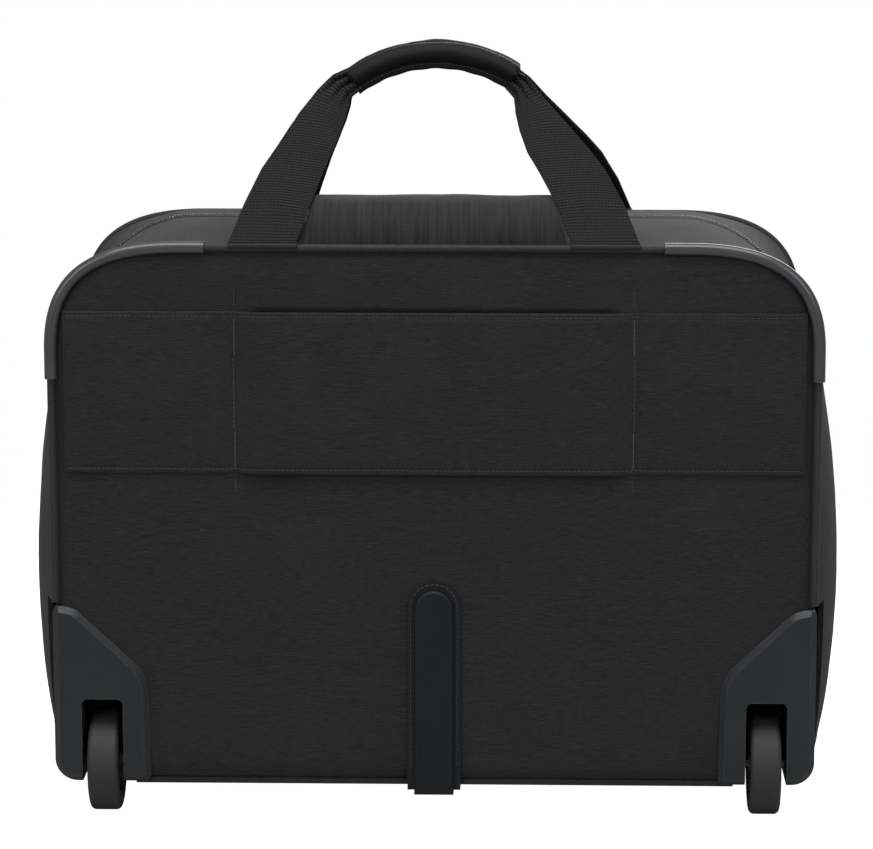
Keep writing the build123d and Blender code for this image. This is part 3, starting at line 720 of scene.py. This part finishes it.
def around(depth, u, tray=False):
    """A point on the outline at a depth: u runs 0..1 from the left edge to the right one."""
    key = (round(depth, 3), tray)
    if key not in rails:
        line = half_outline(*section(depth))
        side_x = np.interp(TRAY_TOP, *line[5:37].T[::-1])
        if tray:
            lip = TRAY_TOP - 0.3
            line = np.vstack([line[line[:, 1] < lip], [(side_x, lip)]])
            line = line[np.r_[True, np.diff(line[:, 1]) > -1e-6]]
        else:
            line = line[::-1]
            line = np.vstack([line[line[:, 1] > TRAY_TOP], [(side_x, TRAY_TOP)]])
        steps = np.r_[0, np.cumsum(np.hypot(*np.diff(line, axis=0).T))]
        rails[key] = (line, steps / steps[-1])
    line, share = rails[key]
    t = abs(2 * u - 1)
    x, z = np.interp(t, share, line[:, 0]), np.interp(t, share, line[:, 1])
    return math.copysign(x, 2 * u - 1), z


print(
    "widest:", round(max(around(96, u)[0] for u in np.linspace(0.5, 1, 60)), 1),
    "mm from the middle",
)

# %% [markdown]
# The shell is foam-backed cloth, so each band of the body is a sheet that follows the
# outline, eased a little wherever real cloth would pucker, and then given 3 mm of
# thickness inwards.  A fine grid keeps the curve of the corners round.

# %% The gusset bands and the uncut bottom tray
BODY_MIDDLE = Vector((0, 0.0, 0.18))
HOUSING_SPANS = ((-240, -171.7), (171.7, 240))
WHEEL_SPANS = ((-209, -171.7), (171.7, 209))
WHEEL_TOP = 76.3


def band(name, low, high, columns, rows, tray=False):
    """One band of the body between two depths."""

    def place(u, v):
        depth = low + (high - low) * v
        x, z = around(depth, u, tray=tray)
        slack = math.sin(math.pi * v) * (1 if not tray else 0.3)
        push = ripple(x, depth, z, 46, 0.7 * slack) + ripple(x, depth, z, 15, 0.22 * slack)
        pull = 0.5 * math.exp(-v * (high - low) / 3.0) + 0.5 * math.exp(
            -(1 - v) * (high - low) / 3.0
        )
        away = Vector((x, 0, z - 180)).normalized()
        shift = (push - pull) * (0.4 if tray else 1.0)
        return at(x + away.x * shift, depth, z + max(away.z * shift, -0.2 if tray else -9))

    return cloth_grid(name, columns, rows, place, BODY_MIDDLE)


def open_corners(piece):
    """Room for the moulded corners and the wheel wells."""
    for span in HOUSING_SPANS:
        cut_window(piece, span, (-20, 20.3), (0, 125.9))
    for span in WHEEL_SPANS:
        cut_window(piece, span, (-20, 54.4), (0, WHEEL_TOP))


rear_shell = band("rear_shell", 1.6, 90.0, 300, 25)
open_corners(rear_shell)
cut_window(rear_shell, (-62, 62), (6, 29), (320, 350))

front_shell_skin = band("front_shell_skin", 102.0, 178.6, 300, 22)

base_tray = band("base_tray", 2.0, 178.4, 150, 44, tray=True)
open_corners(base_tray)

for piece in (rear_shell, front_shell_skin, base_tray):
    thicken(piece, 0.003, use_even_offset=True)
    smooth(piece, 50)
dress(rear_shell, gusset_cloth, "ribbed_fabric", "case", "rear_gusset")
dress(front_shell_skin, gusset_cloth, "ribbed_fabric", "front_shell", "front_gusset")
dress(base_tray, base_cloth, "base_fabric", "case", "bottom_panel")
print("band faces:", [len(p.data.polygons) for p in (rear_shell, front_shell_skin, base_tray)])

# %% [markdown]
# The back and front panels are flat pads stretched inside their piping.  A row of the grid
# runs across at each height, as wide as the seam is there.  Close to the seam the cloth
# rolls inwards, and over the luggage sleeve's channel it dips to let a handle pass.

# %% Panels stretched inside the piping
PANEL_INSET = 2.0


def seam_half_width(z, crown):
    """Half the width of the flat panel at a height."""
    line = half_outline(0.0, crown, PANEL_INSET)
    low, top = 20 + PANEL_INSET, crown - PANEL_INSET
    rounded = line[(line[:, 1] >= low - 0.01) & (line[:, 0] > 1)]
    return float(np.interp(min(max(z, low), top), rounded[:, 1], rounded[:, 0]))


def panel(name, face_depth, outward, crown, floor_z, bulge, dip=0.0):
    """A padded panel whose outer face looks along `outward` (-1 back, +1 front)."""
    top = crown - PANEL_INSET

    def place(u, v):
        z = floor_z + (top - floor_z) * v
        half = seam_half_width(z, crown)
        x = half * (2 * u - 1)
        edge = max(min(half - abs(x), top - z, z - floor_z), 0.0)
        roll = 2.6 * math.exp(-edge / 2.6) + 0.7 * math.exp(-edge / 9.0)
        crowned = bulge * ease(edge / 70.0)
        uneven = ripple(x, face_depth, z, 60, 0.45) + ripple(x, face_depth, z, 19, 0.16)
        channel = dip * ease((107 - abs(x)) / 10) * ease((z - 202.0) / 4) * ease((297 - z) / 4)
        return at(
            x, face_depth + outward * (crowned + uneven * ease(edge / 12) - roll - channel), z,
        )

    return cloth_grid(name, 170, 120, place, at(0, face_depth - outward * 60, 180))


back_skin = panel("back_skin", 0.2, -1, SEAM_TOP, 23.5, bulge=0.6, dip=3.2)
for span in WHEEL_SPANS:
    cut_window(back_skin, span, (-20, 30), (0, WHEEL_TOP))
thicken(back_skin, 0.005)
smooth(back_skin, 50)
dress(back_skin, back_cloth, "back_fabric", "case", "back_panel")

front_skin = panel("front_skin", 179.6, 1, FRONT_TOP, 27.2, bulge=0.8)
thicken(front_skin, 0.0035)
smooth(front_skin, 50)
dress(front_skin, front_cloth, "front_fabric", "front_shell", "front_panel")
print("back panel spans", [round(c, 4) for c in back_skin.dimensions], "m")

# %% [markdown]
# Piping is a cord wrapped in a strip of the same cloth and caught in the seam.  A curve
# through the seam's corners with a round bevel makes the bead.  The strip's own edge is
# inside the seam and doesn't show, so it isn't made.

# %% Piping round both seams
PIPING_RADIUS = 0.00205


def seam_line(depth, crown, end_z):
    """The seam's points from low on the left, over the top, to low on the right."""
    half = SEAM_HALF
    corner = curve(
        (half, crown - 58), (half, crown - 18), (half - 22.5, crown), (half - 73, crown), 20,
    )
    side = [(half, z) for z in np.linspace(end_z, crown - 58, 12)]
    right = np.vstack([side, corner])
    left = right[::-1] * (-1, 1)
    return [at(x, depth, z) for x, z in np.vstack([right, left])]


def tube_along(name, points, radius):
    """A round tube along points, as a mesh at the origin."""
    take(None)
    line = bpy.data.curves.new(name, "CURVE")
    line.dimensions = "3D"
    spline = line.splines.new("NURBS")
    spline.points.add(len(points) - 1)
    for knot, point in zip(spline.points, points):
        knot.co = (*point, 1)
    spline.order_u = 3
    spline.use_endpoint_u = True
    line.resolution_u = 4
    line.bevel_depth = radius
    line.bevel_resolution = 4
    line.use_fill_caps = True
    holder = bpy.data.objects.new(name, line)
    bpy.context.scene.collection.objects.link(holder)
    take(holder)
    bpy.ops.object.convert(target="MESH")
    return bpy.context.object


for name, depth, crown, end_z, body, node in (
    ("rear_seam_piping", 0.5, SEAM_TOP, 127.5, "case", "rear_piping"),
    ("front_seam_piping", 179.5, FRONT_TOP, 48.0, "front_shell", "front_piping"),
):
    piping = tube_along(name, seam_line(depth, crown, end_z), PIPING_RADIUS)
    smooth(piping, 60)
    dress(piping, piping_cloth, "piping_fabric", body, node)

# %% [markdown]
# Stitches are real thread: each is a small six-sided capsule that lies on the cloth.  One stitch is
# modelled, an Array repeats it along a seam's length, and a Curve modifier lays the row
# on the seam.  Both are applied, and a stitch has only a few faces.

# %% Sew a row of stitches
def repeat_along(piece, points, pitch):
    """Repeats a small piece every `pitch` mm along points, in mm across, deep and high."""
    path = [at(*p) for p in points]
    line = bpy.data.curves.new(piece.name + "_line", "CURVE")
    line.dimensions = "3D"
    spline = line.splines.new("POLY")
    spline.points.add(len(path) - 1)
    for knot, point in zip(spline.points, path):
        knot.co = (*point, 1)
    guide = bpy.data.objects.new(line.name, line)
    bpy.context.scene.collection.objects.link(guide)
    length = sum((b - a).length for a, b in zip(path, path[1:]))
    apply_modifier(
        piece, "ARRAY", count=max(int(length * 1000 / pitch), 1), use_relative_offset=False,
        use_constant_offset=True, constant_offset_displace=(pitch / 1000, 0, 0),
    )
    apply_modifier(piece, "CURVE", object=guide, deform_axis="POS_X")
    bpy.data.objects.remove(guide)
    smooth(piece, 60)


def sew(name, points, body, material=thread_finish, pitch=2.7, width=0.55):
    """A row of stitches along points, in mm across, deep and high."""
    take(None)
    bpy.ops.mesh.primitive_cylinder_add(
        vertices=6, radius=width / 2000, depth=pitch * 0.72 / 1000
    )
    row = named(name)
    row.rotation_euler = (0, math.radians(90), 0)
    row.location = (pitch / 2000, 0, 0)
    settle(row)
    apply_modifier(row, "BEVEL", width=width / 5200, segments=1, limit_method="ANGLE")
    repeat_along(row, points, pitch)
    dress(row, material, "webbing", body)



# %% [markdown]
# The luggage sleeve is a flat band sewn to the panel at its ends and along two upright
# seams.  Between those it is open at top and bottom, so it stands a few millimetres proud
# there.  Its top and bottom edges are folded hems, and each seam pulls a shallow groove.

# %% The luggage sleeve
SLEEVE_HALF, SLEEVE_SEAM = 209.4, 113.0
SLEEVE_LOW, SLEEVE_TOP = 203.0, 296.0
SLEEVE_HEIGHT = SLEEVE_TOP - SLEEVE_LOW


def sleeve_depth(x, z):
    """Depth of the sleeve's outer face."""
    side = abs(x)
    proud = 3.0 * ease((SLEEVE_SEAM - side) / 16)
    outer = min(max((side - SLEEVE_SEAM) / (SLEEVE_HALF - SLEEVE_SEAM), 0), 1)
    upright = math.sin(math.pi * (z - SLEEVE_LOW) / SLEEVE_HEIGHT)
    pillow = 1.1 * math.sin(math.pi * outer) * upright
    belly = 0.5 * upright * ease((108 - side) / 40)
    groove = 0.9 * math.exp(-(((side - SLEEVE_SEAM) / 1.8) ** 2))
    fold = min(z - SLEEVE_LOW, SLEEVE_TOP - z)
    hem_line = 0.45 * math.exp(-(((fold - 2.8) / 0.9) ** 2))
    edge = 0.9 * math.exp(-fold / 0.8) + 1.0 * math.exp(-(SLEEVE_HALF - side) / 2.0)
    uneven = ripple(x, 7, z, 30, 0.5) + ripple(x, 7, z, 11, 0.18)
    return -1.7 - proud - pillow - belly - uneven * ease(fold / 10) + groove + hem_line + edge


def place_on_sleeve(u, v):
    x = SLEEVE_HALF * (2 * u - 1)
    rows = 0.5 - 0.5 * math.cos(math.pi * v) * (0.4 + 0.6 * abs(math.cos(math.pi * v)))
    z = SLEEVE_LOW + SLEEVE_HEIGHT * rows
    return at(x, sleeve_depth(x, z), z)


sleeve_band = cloth_grid("sleeve_band", 260, 64, place_on_sleeve, at(0, 60, 250))
thicken(sleeve_band, 0.0011)
smooth(sleeve_band, 60)
dress(sleeve_band, back_cloth, "back_fabric", "case", "luggage_sleeve")

for name, z in (("sleeve_top_stitches", 293.3), ("sleeve_low_stitches", 205.8)):
    line = [(x, sleeve_depth(x, z) - 0.05, z) for x in np.linspace(-207.5, 207.5, 170)]
    sew(name, line, "case")
for side in (-1, 1):
    word = "left" if side < 0 else "right"
    line = [
        (side * SLEEVE_SEAM, sleeve_depth(side * SLEEVE_SEAM, z) - 0.05, z)
        for z in np.linspace(229, 270, 40)
    ]
    sew(f"sleeve_{word}_seam", line, "case")
    for part, low, high in (("top", 271, 292), ("low", 206.5, 228)):
        line = [
            (side * SLEEVE_SEAM - side * 0.5, sleeve_depth(side * SLEEVE_SEAM, z) - 0.1, z)
            for z in np.linspace(low, high, 20)
        ]
        sew(f"sleeve_{word}_{part}_tack", line, "case", tack_finish, pitch=0.9, width=0.75)
    for part, low, high in (("upper", 298.5, 309), ("lower", 192, 201)):
        line = [(side * 112.5, -0.15, z) for z in np.linspace(low, high, 8)]
        sew(f"panel_{word}_{part}_tack", line, "case", pitch=1.6, width=0.5)
print("sleeve and stitches made")

# %% [markdown]
# The skid plate is sewn on: a line of thread runs in the groove between its
# raised rib and its flange.

# %% Stitches round the skid plate
rib_line = [(-13.2, -1.75, z) for z in np.linspace(30, 125.8, 40)]
rib_line += [
    (13.2 * math.sin(a), -1.75, 125.8 + 13.2 * math.cos(a))
    for a in np.linspace(-math.pi / 2, math.pi / 2, 26)
]
rib_line += [(13.2, -1.75, z) for z in np.linspace(125.8, 30, 40)]
sew("skid_stitches", rib_line, "case", pitch=3.0, width=0.6)

# %% [markdown]
# A soft cover hides the stowed grip of the pull handle.  Its back edge is sewn to the rear
# seam and it arches forward over the grip.  When the handle rises, the real cover folds
# back against the seam; here the cover is one fixed piece of the case.

# %% The cover over the stowed handle
def place_on_cover(u, v):
    x = 97.0 * (2 * u - 1)
    rise = 0.05 + 0.95 * ease((76.5 - abs(x)) / 9.0)
    w = 1 - v
    depth = w**3 * 3.8 + 3 * w**2 * v * 5.6 + 3 * w * v**2 * 44 + v**3 * 86
    arch = 3 * w**2 * v * 32.0 + 3 * w * v**2 * 28.0
    base = section(max(depth, 4))[1] + 0.15
    slack = ripple(x, depth, 3, 30, 0.8) + ripple(x, depth, 9, 11, 0.25)
    return at(x, depth, base + arch * rise + slack * math.sin(math.pi * v) * rise)


handle_cover = cloth_grid("handle_cover", 130, 48, place_on_cover, at(0, 45, 300))
thicken(handle_cover, 0.0016)
smooth(handle_cover, 60)
dress(handle_cover, hump_cloth, "ribbed_fabric", "case", "port_cover")
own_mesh(handle_cover)

# %% [markdown]
# Each main zip is a woven tape on both sides of a row of coil teeth.  The tapes follow the
# widest line of the body.  One tooth is a short straight bar, which is enough at this size.
# It is modelled once and repeated along each tape, the two rows half a step apart.

# %% Main zip tapes and teeth
def zip_tape(name, low, high, body, node):
    def place(u, v):
        x, z = around(96, u)
        depth = low + (high - low) * v
        return at(x, depth, z)

    tape = cloth_grid(name, 260, 6, place, BODY_MIDDLE, size=(1.06, (high - low) / 1000))
    thicken(tape, 0.0012)
    smooth(tape, 60)
    dress(tape, tape_cloth, "zip_tape", body, node)


def teeth_row(name, path, body, pitch, lean):
    """Coil teeth along a path in mm; lean is the way that they point in depth."""
    take(None)
    bpy.ops.mesh.primitive_cylinder_add(vertices=6, radius=0.00042, depth=0.0026)
    tooth = named(name)
    tooth.rotation_euler = (math.radians(90), 0, 0)
    tooth.location = (0, lean * 0.0011, 0)
    settle(tooth)
    repeat_along(tooth, path, pitch)
    dress(tooth, puller_rubber, "zip_tape", body)


zip_tape("rear_zip_band", 90.2, 95.6, "case", "rear_zip_tape")
zip_tape("front_zip_band", 96.4, 101.8, "front_shell", "front_zip_tape")
for name, u_shift, depth, body, lean in (
    ("rear_zip_teeth", 0.0, 95.2, "case", 1), ("front_zip_teeth", 0.0008, 96.8, "front_shell", -1),
):
    path = []
    for u in np.linspace(0.004 + u_shift, 0.996 + u_shift / 2, 260):
        x, z = around(96, u)
        away = Vector((x, 0, z - 180)).normalized()
        path.append((x + 0.25 * away.x, depth, z + 0.25 * away.z))
    teeth_row(name, path, body, 1.7, lean)
print("zips made")

# %% [markdown]
# The two carry loops are 38 mm webbing.  Each strap leaves the seam flat, leans to the
# middle of the case, narrows as it turns, and crumples into folds where the padded grip
# gathers it.  The grid follows those two edges, and its UV keeps the ribs straight across.

# %% Webbing of the carry loops
LOOPS = (
    ("rear", 0.5, 338.0, 1, "rear_carry_loop"), ("front", 179.5, 334.0, -1, "front_carry_loop"),
)
WRAP_END_Z = 418.0
EDGE_STEPS = (0.0, 0.2, 0.41, 0.55, 0.69, 0.84, 0.93, 1.0)
OUTER_X = (115.0, 107.0, 98.5, 90.3, 82.6, 70.5, 60.5, 48.5)
INNER_X = (77.0, 70.5, 64.2, 59.4, 54.8, 51.4, 50.6, 43.0)
RIGHT_OUTER_SHIFT = (0.0, -0.5, -2.0, -3.8, -7.2, -9.8, -8.6, -4.0)
RIGHT_INNER_SHIFT = (0.0, -1.2, -5.0, -7.5, -7.2, -6.4, -5.6, -3.5)
OUTER_T = (-0.035, 0.21, 0.42, 0.565, 0.71, 0.895, 1.01, 1.075)
INNER_T = (-0.035, 0.19, 0.40, 0.535, 0.67, 0.80, 0.885, 0.955)


def grip_depth(facing):
    return 90.0 - facing * 8.5


def lean_point(pivot_depth, pivot_z, facing, x, t, off):
    """A point on the leaning plane of a loop; t runs 0..1 up it and off stands off it."""
    reach, rise = grip_depth(facing) - pivot_depth, WRAP_END_Z - pivot_z
    length = math.hypot(reach, rise)
    return at(
        x, pivot_depth + reach * min(t, 1.0) - off * rise / length,
        pivot_z + rise * t + off * reach / length,
    )


for word, pivot_depth, pivot_z, facing, body in LOOPS:
    straps = []
    for side in (-1, 1):

        def place(u, v, side=side):
            outer_x, inner_x = np.interp(v, EDGE_STEPS, OUTER_X), np.interp(v, EDGE_STEPS, INNER_X)
            outer_t, inner_t = np.interp(v, EDGE_STEPS, OUTER_T), np.interp(v, EDGE_STEPS, INNER_T)
            if side > 0:
                outer_x += np.interp(v, EDGE_STEPS, RIGHT_OUTER_SHIFT)
                inner_x += np.interp(v, EDGE_STEPS, RIGHT_INNER_SHIFT)
            x, t = outer_x + (inner_x - outer_x) * u, outer_t + (inner_t - outer_t) * u
            gather = ease((v - 0.8) / 0.17)
            folds = (
                1.9 * gather * math.sin(u * math.pi * 5.6 + 0.9 + 1.2 * v)
                + 0.6 * gather * math.sin(u * math.pi * 11.5)
            )
            cup = 2.2 * ease(v / 0.25) * (1 - 0.7 * gather) * (1 - (2 * u - 1) ** 2)
            twist = 1.6 * math.sin(math.pi * v) * (u - 0.5) * side
            soft = ripple(x, 40 * t, side * 30, 20, 0.7 * math.sin(math.pi * v))
            return lean_point(
                pivot_depth, pivot_z, facing, side * x, t,
                facing * (folds + cup * 0.8 + twist + soft - 0.6),
            )

        strap = cloth_grid("strap", 34, 90, place, at(0, 90, 380), size=(0.038, 0.112))
        straps.append(strap)
    webbing = join(straps, f"{word}_strap_pair")
    thicken(webbing, 0.0017, offset=0)
    round_edges(webbing, 0.0005, angle_limit=math.radians(60))
    smooth(webbing, 50)
    dress(webbing, web_tape, "webbing", body, f"{word}_webbing")
    roots = []
    for side in (-1, 1):
        take(None)
        bpy.ops.mesh.primitive_cylinder_add(
            vertices=20, radius=0.0019, depth=0.0392,
            location=at(side * 96, pivot_depth - facing * 1.6, pivot_z - 4.6),
        )
        root = bpy.context.object
        root.rotation_euler = (0, math.radians(90), 0)
        settle(root)
        round_edges(root, 0.0008)
        roots.append(root)
    root = join(roots, f"{word}_strap_roots")
    smooth(root, 50)
    dress(root, root_tape, "webbing", body)

# %% [markdown]
# The grip wrap is a padded cloth sleeve round the webbing.  A rounded section is spun along
# the grip's arch, remeshed evenly and swelled by Blender's Cloth.  That moves it by less
# than half a millimetre, so the drawn section and a fine ripple give most of its fullness.

# %% Padded grip wraps
def inflate(piece, voxel, pressure, cap, frames=20):
    """Remeshes a closed piece and lets Cloth swell it, no point further than cap metres."""
    apply_modifier(piece, "REMESH", mode="VOXEL", voxel_size=voxel)
    start = [v.co.copy() for v in piece.data.vertices]
    take(piece)
    modifier = piece.modifiers.new("Cloth", "CLOTH")
    modifier.settings.use_pressure = True
    modifier.settings.uniform_pressure_force = pressure
    modifier.settings.effector_weights.gravity = 0
    modifier.settings.quality = 6
    modifier.point_cache.frame_start, modifier.point_cache.frame_end = 1, frames
    scene = bpy.context.scene
    for number in range(1, frames + 1):
        scene.frame_set(number)
    graph = bpy.context.evaluated_depsgraph_get()
    swollen = [v.co.copy() for v in piece.evaluated_get(graph).data.vertices]
    piece.modifiers.remove(modifier)
    scene.frame_set(1)
    print(
        piece.name, "swelled by up to",
        round(max((new - old).length for old, new in zip(start, swollen)) * 1000, 2), "mm"
    )
    for vertex, old, new in zip(piece.data.vertices, start, swollen):
        move = new - old
        vertex.co = old + move * min(1.0, cap / max(move.length, 1e-9))
    apply_modifier(piece, "SUBSURF", levels=1, render_levels=1)


WRAP_RADIUS, WRAP_CENTRE, WRAP_TURN = 83.0, 351.0, math.asin(49.0 / 83.0)
WRAP_SHORT = 0.055


def arch_point(angle, depth, off):
    """A point of the grip's arch, `off` mm above its middle line."""
    reach = WRAP_RADIUS + off
    return at(reach * math.sin(angle), depth, WRAP_CENTRE + reach * math.cos(angle))


for word, pivot_depth, pivot_z, facing, body in LOOPS:
    depth = grip_depth(facing)
    take(None)
    bpy.ops.mesh.primitive_circle_add(
        vertices=28, radius=0.0071, location=arch_point(0, depth, 0.2),
        rotation=(0, math.radians(90), 0), fill_type="NGON",
    )
    wrap = named(f"{word}_wrap_pad")
    settle(wrap)
    edit(wrap)
    bpy.ops.mesh.delete(type="ONLY_FACE")
    bpy.ops.mesh.select_all(action="SELECT")
    bpy.ops.transform.resize(value=(1, 0.95, 0.86), center_override=arch_point(0, depth, 0.2))
    bpy.ops.transform.rotate(
        value=WRAP_TURN, orient_axis="Y", center_override=at(0, depth, WRAP_CENTRE),
    )
    leave()
    middle = sum((v.co for v in wrap.data.vertices), Vector()) / len(wrap.data.vertices)
    direction = 1 if middle.x > 0 else -1
    edit(wrap)
    bpy.ops.mesh.spin(
        steps=44, angle=(2 * WRAP_TURN - WRAP_SHORT) * direction, center=at(0, depth, WRAP_CENTRE),
        axis=(0, 1, 0),
    )
    leave()
    spread_x = [v.co.x for v in wrap.data.vertices]
    print(wrap.name, "spans", round(min(spread_x) * 1000), "to", round(max(spread_x) * 1000), "mm")
    edit(wrap)
    bpy.ops.mesh.remove_doubles(threshold=0.00001)
    bpy.ops.mesh.select_all(action="DESELECT")
    bpy.ops.mesh.select_mode(type="EDGE")
    bpy.ops.mesh.select_non_manifold()
    bpy.ops.mesh.edge_face_add()
    bpy.ops.mesh.select_all(action="SELECT")
    bpy.ops.mesh.normals_make_consistent(inside=False)
    leave()
    inflate(wrap, 0.0019, 20.0, 0.0009)
    for vertex in wrap.data.vertices:
        x, y, z = vertex.co * 1000
        vertex.co += Vector((0, 0, 0.001)) * (ripple(x, y, z, 14, 0.5) + ripple(x, y, z, 5, 0.12))
    smooth(wrap, 60)
    dress(wrap, wrap_cloth, "wrap_fabric", body, f"{word}_grip_wrap")

    def place_on_flap(u, v, depth=depth, facing=facing):
        angle = -(WRAP_TURN + 0.015) + u * (2 * WRAP_TURN + 0.03 - WRAP_SHORT)
        lip = 0.75 * math.exp(-(((v - 0.42) / 0.12) ** 2))
        return arch_point(
            angle, depth - facing * (3.6 - 1.3 * v - 0.5 * lip),
            -4.6 - 4.5 * v + 0.2 * math.sin(u * 40),
        )

    flap = cloth_grid(f"{word}_wrap_flap", 120, 12, place_on_flap, at(0, depth + facing * 60, 400))
    thicken(flap, 0.0022)
    round_edges(flap, 0.0007, angle_limit=math.radians(60))
    smooth(flap, 50)
    dress(flap, wrap_cloth, "wrap_fabric", body)
    line = []
    for angle in np.linspace(-WRAP_TURN * 0.98, WRAP_TURN * 0.98 - WRAP_SHORT, 80):
        point = arch_point(angle, depth, -6.1) * 1000
        line.append((point.x, depth - facing * 3.15, point.z))
    sew(f"{word}_wrap_stitches", line, body, pitch=2.3, width=0.55)

# %% [markdown]
# Inside, a lined foam wall covers the handle's tubes, a divider makes the laptop bay, and
# an organiser panel lines the front shell.  They show when the case is open, so they are
# pads with rolled edges rather than flat boards, and the divider has sewn channels.

# %% Lining pads
def lining_pad(
    name, depth, outward, crown, swell, inset, low, high, thickness, body, node, channels=0.0,
):
    line = half_outline(swell, crown, inset)
    rounded = line[line[:, 0] > 1]

    def place(u, v):
        z = low + (high - low) * v
        half = float(np.interp(z, rounded[:, 1], rounded[:, 0])) if z < crown - inset else rounded[
            -1, 0,
        ]
        x = half * (2 * u - 1)
        edge = max(min(half - abs(x), high - z, z - low), 0)
        quilt = channels * abs(math.sin(math.pi * x / 42.0)) ** 0.6 * ease(edge / 12)
        return at(
            x,
            depth + outward * (quilt - 0.8 * math.exp(-edge / 1.6) + ripple(x, depth, z, 40, 0.3)),
            z,
        )

    pad = cloth_grid(name, 150, 60, place, at(0, depth - outward * 50, 180))
    thicken(pad, thickness)
    smooth(pad, 50)
    dress(pad, lining_cloth, "lining_fabric", body, node)


lining_pad("tube_wall_lining", 56.8, 1, 335.0, 0.8, 9.0, 29.5, 325.8, 0.0016, "case", "inner_wall")
lining_pad(
    "laptop_divider_pad", 88.6, 1, 337.5, 1.0, 9.5, 29.5, 291.5, 0.004, "case", "laptop_divider",
    channels=1.2,
)
lining_pad(
    "organiser_lining", 169.6, -1, 328.0, 0.0, 14.5, 60.5, 239.5, 0.0018, "front_shell",
    "organiser_panel",
)

# %% [markdown]
# The front pocket is a shallow gusseted pouch.  A box loses its back, its upright corners
# and its front edge are bevelled round, and fine subdivision lets the cloth wander a
# little.  Its zip lies in a slot along the top.

# %% Front pocket
take(None)
bpy.ops.mesh.primitive_cube_add(size=1, location=at(0, 187.25, 133), scale=(0.384, 0.0145, 0.170))
pocket = named("pocket_pouch")
settle(pocket)
delete_faces(pocket, lambda x, depth, z: depth < 180.5)


def runs_deep(edge):
    a, b = (pocket.data.vertices[i].co for i in edge.vertices)
    return abs(a.x - b.x) < 1e-5 and abs(a.z - b.z) < 1e-5


pick(pocket, "EDGE", "edges", runs_deep)
bpy.ops.mesh.bevel(offset=0.024, segments=10, profile=0.5)
leave()
front_y = max(v.co.y for v in pocket.data.vertices)
pick(
    pocket, "FACE", "polygons",
    lambda face: abs(face.center.y - front_y) < 1e-5 and abs(face.normal.y) > 0.9,
)
bpy.ops.mesh.region_to_loop()
bpy.ops.mesh.bevel(offset=0.005, segments=5, profile=0.5)
leave()
edit(pocket)
for x in np.linspace(-188, 188, 95):
    bpy.ops.mesh.select_all(action="SELECT")
    bpy.ops.mesh.bisect(plane_co=at(x, 0, 0), plane_no=(1, 0, 0))
for z in np.linspace(52, 214, 42):
    bpy.ops.mesh.select_all(action="SELECT")
    bpy.ops.mesh.bisect(plane_co=at(0, 0, z), plane_no=(0, 0, 1))
leave()
cut_window(pocket, (-150, 150), (184.6, 189.9), (210, 220))
for vertex in pocket.data.vertices:
    x, y, z = vertex.co * 1000
    depth = y + CENTRE_DEPTH
    edge = min(192 - abs(x), 218 - z, z - 48)
    if depth > 190.5:
        vertex.co.y += 0.001 * (
            1.6 * ease(edge / 60) + ripple(x, depth, z, 42, 1.0) * ease(edge / 14)
            + ripple(x, depth, z, 13, 0.3) - 0.4
        )
thicken(pocket, 0.0018)
smooth(pocket, 45)
dress(pocket, front_cloth, "front_fabric", "front_shell", "front_pocket")

pocket_tape = cloth_grid(
    "pocket_zip_band", 150, 6, lambda u, v: at(-150 + 300 * u, 184.7 + 5.1 * v, 217.8),
    at(0, 187, 100), size=(0.3, 0.0052),
)
thicken(pocket_tape, 0.0013)
dress(pocket_tape, tape_cloth, "zip_tape", "front_shell", "pocket_zip_tape")
teeth_row(
    "pocket_zip_teeth", [(x, 187.25, 218.0) for x in np.linspace(-149, 149, 20)], "front_shell",
    1.5, 0,
)
print("pocket made with", len(pocket.data.polygons), "faces")
